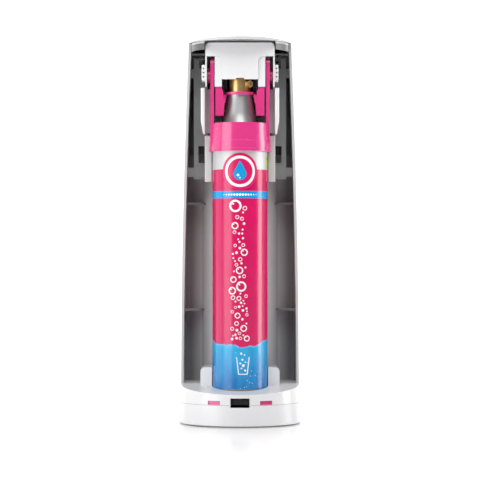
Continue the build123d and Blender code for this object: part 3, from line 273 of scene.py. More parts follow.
def bay_shell_painted_shading(name, colour):
    """Grey moulded plastic with painted light and shade in the bay: a painted light on the bulging wall
    beside the cylinder, and painted shade deep in the bay's corners and on the inner sides of the walls.
    """
    painted_light_fade, corner = (33 * MM, 45 * MM), (43 * MM, 57 * MM)
    past_panel, along_wall = (26 * MM, 32 * MM), (-14 * MM, 24 * MM)
    # painted light and shade: 1.75 times the shell's colour where the wall bulges beside the cylinder, 0.26
    # deep in the corners and 0.40 on the walls' inner sides
    pale, plain, deep, inner = (shade(colour, factor) for factor in (1.75, 0.98, 0.26, 0.40))
    recipe = Recipe(name, colour, 0.42)
    place = recipe.coordinates()
    x, y = recipe.split(place)[:2]
    facing_x, facing_y = recipe.facing()[:2]
    away = recipe.math("ABSOLUTE", x)
    # where the painted light and shade go: faces turned to the rear, and the inner sides of the walls
    painted_shading_mask = recipe.math("MULTIPLY", recipe.spread(facing_y, 0.0, 1.0, 0.2, 0.5),
                          recipe.spread(y, 1.0, 0.0, *past_panel))
    inwards = recipe.math("MULTIPLY", facing_x, x)
    painted_wall_shade_mask = recipe.math("MULTIPLY", recipe.spread(inwards, 1.0, 0.0, -30 * MM, 0.0),
                             recipe.spread(y, 1.0, 0.0, *along_wall))
    flow = recipe.mix(recipe.noise(place, 22.0, 3.0), shade(colour, 0.94), colour)
    # painted light on the bulging wall beside the cylinder, fading into painted shade deep in the corners
    painted_bulge_light = recipe.mix(recipe.spread(away, 0.0, 1.0, *painted_light_fade), pale, plain)
    depth = recipe.mix(recipe.spread(away, 0.0, 1.0, *corner), painted_bulge_light, deep)
    # painted shade on the walls' inner sides, painted light and shade on the rear faces, plain grey with flow
    # marks elsewhere
    recipe.paint(recipe.mix(painted_wall_shade_mask, recipe.mix(painted_shading_mask, flow, depth), inner))
    recipe.vary_roughness(recipe.noise(place, 60.0, 4.0), 0.37, 0.48)
    recipe.bump(recipe.noise(place, 900.0, 1.0), 0.00005, 0.35, EDGE_R)
    return recipe.material


def cover_plastic_painted_shade(name, colour, inside):
    """Light grey plastic, with a painted shade of dark grey on the flange within the head, below the rim, and
    on faces turned down.
    """
    rim = (COVER_TOP - 6 * MM, COVER_TOP - 5 * MM)
    recipe = Recipe(name, colour, 0.36)
    place = recipe.coordinates()
    height, facing_up = recipe.split(place)[2], recipe.facing()[2]
    free_of_painted_shade = recipe.math("MULTIPLY", recipe.spread(height, 0.0, 1.0, *rim),
                          recipe.spread(facing_up, 0.0, 1.0, -0.7, -0.4))
    flow = recipe.mix(recipe.noise(place, 22.0, 3.0), shade(colour, 0.95), colour)
    # painted shade: the dark grey goes below the rim and on faces turned down
    recipe.paint(recipe.mix(free_of_painted_shade, inside, flow))
    recipe.vary_roughness(recipe.noise(place, 60.0, 4.0), 0.31, 0.42)
    recipe.bump(recipe.noise(place, 1400.0, 1.0), 0.00003, 0.35, EDGE_R)
    return recipe.material


def rubber(name, colour):
    """Matt rubber with a dusty, slightly rough face."""
    recipe = Recipe(name, colour, 0.8)
    place = recipe.coordinates()
    recipe.vary_colour(recipe.noise(place, 180.0, 4.0), colour, 0.7)
    recipe.vary_roughness(recipe.noise(place, 90.0), 0.65, 0.9, 0.0, 1.0)
    recipe.bump(recipe.noise(place, 900.0), 0.0001, 0.4)
    return recipe.material


def turned_metal(name, colour, roughness, centre=(0, 0), ring_scale=2250.0):
    """Metal turned on a lathe about an upright axis: fine rings in height, and a faint tarnish."""
    recipe = Recipe(name, colour, roughness, metallic=1.0)
    middle = (-centre[0], -centre[1], 0)
    recipe.vary_colour(recipe.noise(recipe.coordinates(middle), 120.0, 4.0), colour, 0.78)
    ring = recipe.noise(recipe.coordinates(middle, (0.02, 0.02, 1)), ring_scale)
    recipe.vary_roughness(ring, roughness - 0.06, roughness + 0.12)
    recipe.bump(ring, 0.00004, 0.5)
    return recipe.material


def polished_steel(name, colour, roughness=0.22):
    """Plated fastener or drawn wire with fine scratches."""
    recipe = Recipe(name, colour, roughness, metallic=1.0)
    scratch = recipe.noise(recipe.coordinates(scale=(1, 1, 0.15)), 1600.0, 3.0)
    recipe.vary_colour(recipe.noise(recipe.coordinates(), 200.0), colour, 0.85)
    recipe.vary_roughness(scratch, roughness - 0.08, roughness + 0.15)
    recipe.bump(scratch, 0.00002, 0.4)
    return recipe.material


def bare_aluminium(name, colour):
    """Cylinder metal: straight drawn wall, and a blasted neck with fine upright streaks."""
    recipe = Recipe(name, colour, 0.45, metallic=0.4)
    centre = (-CYLINDER_AXIS.x, -CYLINDER_AXIS.y, 0)
    streaks = recipe.noise(recipe.coordinates(centre, (1, 1, 0.06)), 900.0, 4.0)
    blasted = recipe.noise(recipe.coordinates(centre, (1, 1, 0.5)), 1500.0, 3.0)
    height = recipe.split(recipe.coordinates())[2]
    neck = recipe.spread(height, 0.0, 1.0, CYLINDER_HIGH.z - 62 * MM, CYLINDER_HIGH.z - 48 * MM)
    texture = recipe.node("ShaderNodeMix", data_type="FLOAT")
    for index, source in ((0, neck), (2, streaks), (3, blasted)):
        recipe.link(source, texture.inputs[index])
    grain = texture.outputs[0]
    recipe.link(recipe.spread(neck, 0.35, 0.85), recipe.shader.inputs["Metallic"])
    uneven = recipe.spread(grain, 0.40, 0.56, 0.3, 0.7)
    smoother = recipe.math("MULTIPLY", neck, -0.06)
    recipe.link(recipe.math("ADD", uneven, smoother), recipe.shader.inputs["Roughness"])
    wall_metal = recipe.mix(grain, shade(colour, 0.80), colour)
    neck_metal = recipe.mix(grain, shade(colour, 0.58), shade(colour, 0.84))
    recipe.paint(recipe.mix(neck, wall_metal, neck_metal))
    recipe.bump(grain, 0.00005, 0.5)
    return recipe.material


def printed_label(name):
    """Printed film: main colour, a blue stripe near the top, and a blue foot with a wavy surface."""
    sizes, tones = label_sizes(), colours()
    recipe = Recipe(name, tones.label, 0.22)
    x, y, z = recipe.split(recipe.coordinates((-CYLINDER_AXIS.x, -CYLINDER_AXIS.y, 0)))
    turn = recipe.math("ARCTAN2", x, y)
    place = recipe.coordinates()

    # surface of the water: lowest behind, higher to the sides, with small waves
    surface = LABEL_LOW.z + sizes.water_height
    swell = recipe.math("MULTIPLY", recipe.math("COSINE", turn), -8 * MM)
    waves = recipe.math("MULTIPLY", recipe.math("SINE", recipe.math("MULTIPLY", turn, 4.0)), 1.1 * MM)
    ripple = recipe.spread(recipe.noise(place, 75.0, 2.0), -2.2 * MM, 2.2 * MM, 0.3, 0.7)
    top = recipe.math("ADD", recipe.math("ADD", swell, waves), recipe.math("ADD", ripple, surface))
    depth = recipe.math("SUBTRACT", top, z)
    under = recipe.spread(depth, 0.0, 1.0, -0.15 * MM, 0.15 * MM)

    # the water: pale at the surface, with slanted light rays and small bright bubbles
    pale, deep = (0.02, 0.35, 0.66, 1), (0.0, 0.16, 0.46, 1)
    rays = recipe.noise(recipe.coordinates(scale=(1, 1, 0.25)), 70.0, 5.0)
    fade = recipe.spread(depth, 0.0, 1.0, 0.0, 45 * MM)
    water = recipe.mix(recipe.math("ADD", fade, recipe.spread(rays, -0.45, 0.45, 0.3, 0.7)), pale, deep)
    cells = recipe.node("ShaderNodeTexVoronoi", Scale=260.0)
    recipe.link(place, cells.inputs["Vector"])
    spots = recipe.spread(cells.outputs["Distance"], 1.0, 0.0, 0.10, 0.16)
    some = recipe.spread(recipe.noise(place, 45.0, 1.0), 0.0, 1.0, 0.55, 0.62)
    water = recipe.mix(recipe.math("MULTIPLY", spots, some), water, (0.5, 0.8, 0.92, 1))
    foam = recipe.spread(depth, 1.0, 0.0, 0.4 * MM, 3.2 * MM)
    water = recipe.mix(recipe.math("MULTIPLY", foam, recipe.spread(rays, 0.15, 0.8, 0.35, 0.65)), water,
                       (0.16, 0.62, 0.86, 1))

    # the stripe, and ink that is a little uneven
    stripe_top = LABEL_HIGH.z - sizes.stripe_drop
    from_middle = recipe.math("ABSOLUTE", recipe.math("SUBTRACT", z, stripe_top - sizes.stripe_height / 2))
    stripe = recipe.math("LESS_THAN", from_middle, sizes.stripe_height / 2)
    patchy = recipe.spread(recipe.noise(place, 30.0, 3.0), 0.0, 1.0, 0.3, 0.7)
    main = recipe.mix(patchy, shade(tones.label, 0.9), tones.label)
    recipe.paint(recipe.mix(under, recipe.mix(stripe, main, tones.print_blue), water))
    recipe.vary_roughness(recipe.noise(place, 70.0, 3.0), 0.17, 0.26)
    recipe.bump(recipe.noise(place, 260.0, 2.0), 0.00002, 0.3)
    return recipe.material


def ink(name, colour):
    """Flat printing ink under a clear film; the painted shadow at the base's seam is made of it too."""
    recipe = Recipe(name, colour, 0.3)
    place = recipe.coordinates()
    recipe.vary_colour(recipe.noise(place, 320.0, 3.0), colour, 0.94)
    recipe.vary_roughness(recipe.noise(place, 90.0), 0.24, 0.36, 0.0, 1.0)
    return recipe.material


def braided_hose(name, colour):
    """Woven sleeve of the gas line."""
    recipe = Recipe(name, colour, 0.5)
    place = recipe.coordinates()
    weave = recipe.node("ShaderNodeTexWave", Scale=420.0, Distortion=1.5)
    recipe.link(place, weave.inputs["Vector"])
    recipe.vary_colour(weave.outputs["Fac"], colour, 0.45)
    recipe.bump(weave.outputs["Fac"], 0.0002, 0.6)
    return recipe.material


# ------------------------------------------------------------------ mesh helpers
def finish_piece(bm, name, material, body, smooth_angle=35.0):
    """Make an object of a finished bmesh, shaded smooth below an angle, that rides on its body, if any."""
    mesh = bpy.data.meshes.new(name)
    bm.to_mesh(mesh)
    bm.free()
    mesh.materials.append(material)
    mesh.shade_smooth()
    mesh.set_sharp_from_angle(angle=math.radians(smooth_angle))
    piece = bpy.data.objects.new(name, mesh)
    bpy.context.scene.collection.objects.link(piece)
    if body:
        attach(piece, body)
    return piece


def coat_nodes(material, *names):
    """Give CAD nodes their finish."""
    for name in names:
        for slot in NODES[name].material_slots:
            slot.material = material


def spun(outline, steps, closed=False):
    """Body turned about the cylinder's axis from (radius, height) points, a line or a closed outline."""
    bm = bmesh.new()
    row = [bm.verts.new((radius, 0, height)) for radius, height in outline]
    following = row[1:] + row[:1] if closed else row[1:]
    line = [bm.edges.new(pair) for pair in zip(row, following)]
    bmesh.ops.spin(bm, geom=row + line, cent=(0, 0, 0), axis=(0, 0, 1), angle=math.tau, steps=steps,
                   use_merge=True)
    bmesh.ops.remove_doubles(bm, verts=bm.verts, dist=WELD)
    bmesh.ops.recalc_face_normals(bm, faces=bm.faces)
    bmesh.ops.translate(bm, verts=bm.verts, vec=(CYLINDER_AXIS.x, CYLINDER_AXIS.y, 0))
    return bm


def wrap(bm, radius, height, lift):
    """Bend a flat pattern round the cylinder: its X runs round the wall, its Y up, and its Z outwards."""
    bmesh.ops.recalc_face_normals(bm, faces=bm.faces)
    for vert in bm.verts:
        across, up, out = vert.co
        level = height + up
        wall = radius(level) if callable(radius) else radius
        reach = wall + lift + out
        turn = across / wall
        vert.co = (CYLINDER_AXIS.x + reach * math.sin(turn), CYLINDER_AXIS.y + reach * math.cos(turn), level)
    # the pattern's Y and Z change places in the bend, which turns its faces inside out
    bmesh.ops.reverse_faces(bm, faces=bm.faces)


def thicken(bm, thickness=INK_T):
    """Raise the flat faces of a pattern into a thin closed solid."""
    raised = bmesh.ops.extrude_face_region(bm, geom=bm.faces[:])
    bmesh.ops.translate(bm, verts=[v for v in raised["geom"] if isinstance(v, bmesh.types.BMVert)],
                        vec=(0, 0, thickness))


def add_disc(bm, x, y, radius, hole=0.0, segments=48, rings=1):
    """Flat disc or ring in the XY plane, made of quads in rings so that it can be bent."""
    start = hole if hole else radius / (2 * rings)
    circle = bmesh.ops.create_circle(bm, radius=start, segments=segments, cap_ends=not hole,
                                     matrix=Matrix.Translation((x, y, 0)))
    verts = circle["verts"]
    edges = [edge for edge in {e for v in verts for e in v.link_edges} if all(v in verts for v in edge.verts)]
    centre = Vector((x, y, 0))
    for step in range(1, rings + 1):
        grown = start + (radius - start) * step / rings
        fresh = bmesh.ops.extrude_edge_only(bm, edges=edges)["geom"]
        verts = [g for g in fresh if isinstance(g, bmesh.types.BMVert)]
        edges = [g for g in fresh if isinstance(g, bmesh.types.BMEdge)]
        for vert in verts:
            vert.co = centre + (vert.co - centre).normalized() * grown


def add_band(bm, outer, inner):
    """Strip of quads between two lines of points in the XY plane."""
    rows = [[bm.verts.new((x, y, 0)) for x, y in points] for points in (outer, inner)]
    for a, b, c, d in zip(rows[0], rows[0][1:], rows[1][1:], rows[1]):
        bm.faces.new((a, b, c, d))


def apart(x, y, radius, others, gap):
    """True if a circle keeps its distance from all the others."""
    return all(math.hypot(x - a, y - b) > radius + r + gap for a, b, r in others)


# ------------------------------------------------------------------ operators
class CARBONATOR_OT_housing(bpy.types.Operator):
    """Give the base, shell, frame, plates and head parts their finishes, with painted light and shade in the
    bay and painted shade under the top cover
    """

    bl_idname = "carbonator.housing"
    bl_label = "Housing"

    def execute(self, context):
        tones = colours()
        coat_nodes(moulded_plastic("base_plastic", tones.base, 0.32, coat=0.25, darker=0.97),
                   "base_pan", "base_top", "cylinder_cradle")
        coat_nodes(moulded_plastic("frame_plastic", tones.frame, 0.38, darker=0.96),
                   "head_frame", "side_bracket_right", "side_bracket_left", "pivot_bearing_right",
                   "pivot_bearing_left", "valve_deck", "nozzle_tube", "bottle_claw_right", "bottle_claw_left")
        coat_nodes(moulded_plastic("rail_plastic", shade(tones.frame, 0.76), 0.42),
                   "guide_rail_right", "guide_rail_left")
        # the shell's finish carries painted light and shade in the bay
        coat_nodes(bay_shell_painted_shading("shell_plastic", tones.shell),
                   "recess_panel", "side_wall_right", "side_wall_left", "head_shell")
        coat_nodes(moulded_plastic("liner_plastic", tones.liner, 0.42, grain=900.0, depth=0.00005),
                   "bay_liner_right", "bay_liner_left")
        # the top cover's flange and underside get a painted shade, dark grey from the liner's colour
        coat_nodes(cover_plastic_painted_shade("crown_plastic", tones.crown, shade(tones.liner, 0.35)), "top_cover")
        coat_nodes(moulded_plastic("black_plastic", tones.dark, 0.40, darker=0.8),
                   "cover_latch", "valve_block", "press_rocker", "nozzle_block", "bottle_socket", "drip_tray")
        coat_nodes(rubber("foot_rubber", (0.02, 0.02, 0.02, 1)), "rubber_feet")
        coat_nodes(rubber("seal_rubber", (0.035, 0.035, 0.037, 1)), "valve_gasket", "bottle_gasket")
        coat_nodes(polished_steel("screw_steel", (0.62, 0.62, 0.64, 1)),
                   "base_screws", "deck_screws", "rocker_pin", "lever_pins", "push_pin", "valve_pin",
                   "button_spring")
        coat_nodes(polished_steel("grille_steel", (0.60, 0.60, 0.62, 1), 0.3), "drip_grille")
        coat_nodes(turned_metal("fitting_brass", tones.brass, 0.25), "relief_valve", "swivel_elbow")
        coat_nodes(braided_hose("hose_braid", (0.05, 0.05, 0.055, 1)), "gas_hose")
        coat_nodes(moulded_plastic("button_plastic", tones.frame, 0.28, darker=0.97, coat=0.4),
                   "carbonating_button")
        return {"FINISHED"}


class CARBONATOR_OT_pink_parts(bpy.types.Operator):
    """Give the lever, the cylinder holder, the collar and the catches their pink finish"""

    bl_idname = "carbonator.pink_parts"
    bl_label = "Lever and holder"

    def execute(self, context):
        pink = moulded_plastic("pink_plastic", colours().pink, 0.26, depth=0.00002, coat=0.5)
        coat_nodes(pink, "lever", "cylinder_holder", "cylinder_collar", "cover_catches")
        return {"FINISHED"}


class CARBONATOR_OT_cylinder(bpy.types.Operator):
    """Build the smooth gas cylinder and finish its brass valve"""

    bl_idname = "carbonator.cylinder"
    bl_label = "Gas cylinder"

    def execute(self, context):
        tones = colours()
        foot, wall_top, neck = CYLINDER_LOW.z, CYLINDER_HIGH.z - 66 * MM, 13.7 * MM
        round_foot = 8 * MM
        profile = [(0, foot + 3 * MM), (14 * MM, foot + 2 * MM), (18 * MM, foot + 0.6 * MM), (22 * MM, foot)]
        profile += [(CYLINDER_R - round_foot * (1 - math.sin(a)), foot + round_foot * (1 - math.cos(a)))
                    for a in (math.radians(angle) for angle in range(9, 91, 9))]
        profile += [(CYLINDER_R, foot + (wall_top - foot) * step / 8) for step in range(2, 9)]
        # radius and height of points on the shoulder, and its slope there, in millimetres
        shoulder = [(30.0, 298.0), (27.5, 314.0), (19.2, 330.5), (15.3, 347.0), (13.7, 360.8)]
        slopes = [(0, 9.0), (-5.5, 12.0), (-5.0, 14.0), (-2.0, 12.0), (0, 8.0)]
        for (r0, z0), (r1, z1), (a0, b0), (a1, b1) in zip(shoulder, shoulder[1:], slopes, slopes[1:]):
            stretch = (z1 - z0) / 30
            points = interpolate_bezier(Vector((r0, z0)), Vector((r0 + a0 * stretch, z0 + b0 * stretch)),
                                        Vector((r1 - a1 * stretch, z1 - b1 * stretch)), Vector((r1, z1)), 12)
            profile += [(point[0] * MM, point[1] * MM) for point in points[1:]]
        profile += [(neck, CYLINDER_HIGH.z), (8.0 * MM, CYLINDER_HIGH.z), (0, CYLINDER_HIGH.z)]
        bm = spun(profile, 160)
        body = finish_piece(bm, "cylinder_wall", bare_aluminium("cylinder_aluminium", tones.aluminium),
                            "gas_cylinder", 50)
        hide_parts("cylinder_body")
        centre = (CYLINDER_AXIS.x, CYLINDER_AXIS.y)
        coat_nodes(turned_metal("valve_brass", tones.brass, 0.34, centre), "cylinder_valve")
        coat_nodes(turned_metal("plug_brass", tones.brass, 0.30, centre, 500.0), "burst_plug")
        return {"FINISHED"}


class CARBONATOR_OT_label(bpy.types.Operator):
    """Print the label: film, round badge, rising bubbles, glass and dots"""

    bl_idname = "carbonator.label"
    bl_label = "Printed label"

    def film(self):
        """The film itself, with softened edges."""
        inner, edge = LABEL_R - 0.3 * MM, 0.08 * MM
        low, high = LABEL_LOW.z, LABEL_HIGH.z
        outline = [(inner, low), (LABEL_R - edge, low), (LABEL_R, low + edge), (LABEL_R, high - edge),
                   (LABEL_R - edge, high), (inner, high)]
        bm = spun(outline, 192, closed=True)
        film = finish_piece(bm, "label_film", printed_label("label_print"), "gas_cylinder")
        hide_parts("cylinder_label")

    def patch(self, bm, name, material, height, lift):
        """Bend a flat pattern onto the label and finish it."""
        thicken(bm)
        wrap(bm, LABEL_R, height, lift)
        return finish_piece(bm, name, material, "gas_cylinder", 30)

    def badge(self, white, blue, main):
        """A round badge that overlaps the bare metal: a white ring round a blue drop."""
        sizes = label_sizes()
        middle = LABEL_HIGH.z - sizes.badge_drop
        radius = sizes.badge_radius
        bm = bmesh.new()
        add_disc(bm, 0, 0, radius, segments=96, rings=14)
        self.patch(bm, "badge_ground", main, middle, 0.0)
        bm = bmesh.new()
        add_disc(bm, 0, 0, 0.85 * radius, hole=0.70 * radius, segments=96, rings=3)
        self.patch(bm, "badge_ring", white, middle, INK_T)
        bm = bmesh.new()
        drop = 0.36 * radius
        add_disc(bm, 0, 0, drop, segments=64, rings=8)
        for vert in bm.verts:
            tip = max(0.0, vert.co.y / drop)
            vert.co.y += 0.85 * drop * tip**2.2
            vert.co.x *= 1 - 0.52 * tip**1.5
            vert.co.y -= 0.32 * drop
        self.patch(bm, "badge_drop", blue, middle, INK_T)
        bm = bmesh.new()
        add_disc(bm, 0.30 * drop, -0.55 * drop, 0.20 * drop, segments=24, rings=2)
        add_disc(bm, 0.02 * drop, -0.95 * drop, 0.12 * drop, segments=24, rings=2)
        self.patch(bm, "badge_glints", white, middle, 2 * INK_T)

    def fizz(self, white):
        """White bubbles that rise up the label, outlined or filled, never touching."""
        sizes = label_sizes()
        draw = random.Random(11)
        surface = LABEL_LOW.z + sizes.water_height
        low, high = surface - 2 * MM, LABEL_HIGH.z - sizes.stripe_drop - sizes.stripe_height - 8 * MM
        kept = []
        bm = bmesh.new()
        for _ in range(4000):
            if len(kept) >= sizes.bubbles:
                break
            rise = draw.random()
            radius = (0.8 + 6.0 * draw.random() ** 1.4) * MM
            across = (0.5 + (draw.random() - 0.5) * 18 * (1 - 0.25 * rise)) * MM
            up = rise * (high - low)
            if radius > 4.9 * MM and rise < 0.1:
                continue
            if not apart(across, up, radius, kept, 0.9 * MM):
                continue
            kept.append((across, up, radius))
            outlined = radius > 1.5 * MM
            add_disc(bm, across, up, radius, hole=0.68 * radius if outlined else 0.0,
                     segments=48 if outlined else 20, rings=2)
            if outlined:
                add_disc(bm, across + 0.34 * radius, up + 0.34 * radius, 0.15 * radius, segments=16, rings=1)
        self.patch(bm, "label_bubbles", white, low, 0.0)

    def glass(self, white):
        """Outline of a tumbler with bubbles in it, on the blue foot."""
        bm = bmesh.new()
        half_low, half_high, tall, line = 5.2 * MM, 7.4 * MM, 19 * MM, 1.0 * MM
        outer = [(-half_high, tall), (-half_low, 0), (half_low, 0), (half_high, tall)]
        inner = [(line - half_high, tall), (line - half_low, line), (half_low - line, line),
                 (half_high - line, tall)]
        add_band(bm, outer, inner)
        level = [edge for edge in bm.edges if abs(edge.verts[0].co.y - edge.verts[1].co.y) < 0.01 * MM]
        bmesh.ops.subdivide_edges(bm, edges=level, cuts=5, use_grid_fill=True)
        for x, y, radius in ((-2.4, 4.6, 1.2), (1.6, 6.8, 0.9), (-0.4, 9.9, 1.5), (2.8, 12.2, 1.0),
                             (-2.6, 13.6, 0.7), (0.6, 16.2, 1.1), (-1.8, 21.4, 0.8), (1.9, 22.8, 1.2)):
            add_disc(bm, x * MM, y * MM, radius * MM, segments=20, rings=1)
        bmesh.ops.translate(bm, verts=bm.verts, vec=(-3.2 * MM, 0, 0))
        self.patch(bm, "label_glass", white, LABEL_LOW.z + 16 * MM, 0.0)

    def stripe_dots(self, white):
        """A row of dots that swell and shrink along the blue stripe."""
        sizes = label_sizes()
        middle = LABEL_HIGH.z - sizes.stripe_drop - sizes.stripe_height / 2
        bm = bmesh.new()
        count = 13
        for index in range(count):
            swell = math.sin(math.pi * (index + 0.5) / count)
            across = (index - (count - 1) / 2) * 3.1 * MM
            add_disc(bm, across, 0, (0.45 + 0.95 * swell) * MM, segments=24, rings=2)
        self.patch(bm, "stripe_dots", white, middle, 0.0)

    def side_sticker(self):
        """A plain yellow-green sticker at the side, above the label."""
        bm = bmesh.new()
        tall, wide = 15.5 * MM, 24 * MM
        bmesh.ops.create_grid(bm, x_segments=24, y_segments=2, size=0.5,
                              matrix=Matrix.Diagonal((wide, tall, 1, 1)))
        bmesh.ops.translate(bm, verts=bm.verts, vec=(-49 * MM, 0, 0))
        self.patch(bm, "side_sticker", ink("sticker_ink", (0.50, 0.52, 0.06, 1)),
                   LABEL_HIGH.z + tall / 2 + 0.6 * MM, -0.25 * MM)

    def execute(self, context):
        tones = colours()
        white = ink("white_ink", tones.print_white)
        blue = ink("blue_ink", tones.print_blue)
        main = ink("label_ink", tones.label)
        self.film()
        self.badge(white, blue, main)
        self.fizz(white)
        self.glass(white)
        self.stripe_dots(white)
        self.side_sticker()
        return {"FINISHED"}


class CARBONATOR_OT_trim(bpy.types.Operator):
    """Add the outline on the lever's band, the painted shadow at the base's seam, the button's spring and its
    printed bubbles
    """

    bl_idname = "carbonator.trim"
    bl_label = "Raised trim"

    def rounded_box(self, half, tall, corner):
        """Points round a box with rounded corners, close enough together to be bent."""
        points = []
        for quarter, (x, y) in enumerate(((1, 1), (-1, 1), (-1, -1), (1, -1))):
            for step in range(9):
                turn = math.radians(90 * quarter + 90 * step / 8)
                points.append((x * (half - corner) + corner * math.cos(turn),
                               y * (tall - corner) + corner * math.sin(turn)))
            if quarter in (0, 2):
                points += [(x * (half - corner) * (1 - step / 12), y * tall) for step in range(1, 24)]
        return points

    def band_outline(self):
        """Blank raised panel outline near the lower edge of the lever's band."""
        half, tall, corner, line = 19.5 * MM, 9.4 * MM, 3.2 * MM, 0.6 * MM
        bm = bmesh.new()
        outer, inner = (self.rounded_box(half - less, tall / 2 - less, corner - less) for less in (0, line))
        add_band(bm, outer + outer[:1], inner + inner[:1])
        bmesh.ops.remove_doubles(bm, verts=bm.verts, dist=WELD)
        thicken(bm, 0.25 * MM)
        skirt_r, waist_r, band_height = 34.2, 32.5, 31.0
        slope = (skirt_r - waist_r) / band_height
        wrap(bm, lambda level: BAND_SKIRT_R - slope * (level - BAND_LOW.z), BAND_LOW.z + 7.2 * MM, -0.05 * MM)
        finish_piece(bm, "band_outline", bpy.data.materials["pink_plastic"],
                     "locking_lever", 40)

    def base_seam_painted_shadow(self):
        """Painted shadow: a dark line where the upper base meets the pan, open at the slot for the rear
        cover.
        """
        half, side, end, slot_half = 66.5 * MM, 37 * MM, 57.5 * MM, 10.6 * MM
        wide, tall, proud, rear_steps = 0.34 * MM, 0.32 * MM, 0.04 * MM, 40
        start = math.acos(slot_half / half)
        rear = [(start * (1 - step / rear_steps), side) for step in range(rear_steps + 1)]
        front = [(-math.pi * step / (2 * rear_steps), -side) for step in range(2 * rear_steps + 1)]
        other = [(-math.pi - turn, shift) for turn, shift in reversed(rear)]
        outer, inner = ([((half + out) * math.cos(turn), shift + (end + out) * math.sin(turn))
                         for turn, shift in rear + front + other] for out in (proud, proud - wide))
        bm = bmesh.new()
        add_band(bm, outer, inner)
        thicken(bm, tall)
        bmesh.ops.translate(bm, verts=bm.verts, vec=(0, 0, SEAM_Z - tall / 2))
        bmesh.ops.recalc_face_normals(bm, faces=bm.faces)
        # the seam's dark grey is a painted shadow
        finish_piece(bm, "base_seam_painted_shadow", ink("painted_seam_shadow_grey", (0.20, 0.20, 0.21, 1)), "housing")

    def spring(self):
        """The button's spring, a coil of wire between the deck and the button."""
        low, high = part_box("button_spring")
        axis = (low + high) / 2
        wire, steps, turns, sides = 0.6 * MM, 168, 3.5, 12
        coil = (high.x - low.x) / 2 - wire
        rise = high.z - low.z - 2 * wire
        start = Matrix.Translation((axis.x + coil, axis.y, low.z + wire))
        bm = bmesh.new()
        bmesh.ops.create_circle(bm, radius=wire, segments=sides,
                                matrix=start @ Matrix.Rotation(math.pi / 2, 4, "X"))
        bmesh.ops.spin(bm, geom=bm.verts[:] + bm.edges[:], cent=axis, axis=(0, 0, 1),
                       dvec=(0, 0, rise / steps), angle=turns * math.tau, steps=steps)
        bmesh.ops.holes_fill(bm, edges=[edge for edge in bm.edges if edge.is_boundary])
        bmesh.ops.recalc_face_normals(bm, faces=bm.faces)
        coiled = finish_piece(bm, "spring_wire", bpy.data.materials["screw_steel"], None)
        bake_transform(coiled)
        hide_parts("button_spring")

    def button_drops(self):
        """Three printed bubbles on the button, from small to large, for the strength of the fizz."""
        centre = (BUTTON_LOW + BUTTON_HIGH) / 2
        thickness, sunk = 0.06 * MM, 0.055 * MM
        bm = bmesh.new()
        for x, radius in ((-9.5, 2.0), (-1.0, 3.4), (11.0, 5.0)):
            add_disc(bm, x * MM, 0, radius * MM, hole=0.7 * radius * MM, segments=48, rings=2)
        thicken(bm, thickness)
        bmesh.ops.translate(bm, verts=bm.verts, vec=(centre.x, centre.y, BUTTON_HIGH.z - sunk))
        bmesh.ops.recalc_face_normals(bm, faces=bm.faces)
        finish_piece(bm, "button_bubbles", ink("button_ink", (0.16, 0.16, 0.17, 1)),
                     "button", 30)

    def execute(self, context):
        self.band_outline()
        self.base_seam_painted_shadow()
        self.spring()
        self.button_drops()
        return {"FINISHED"}


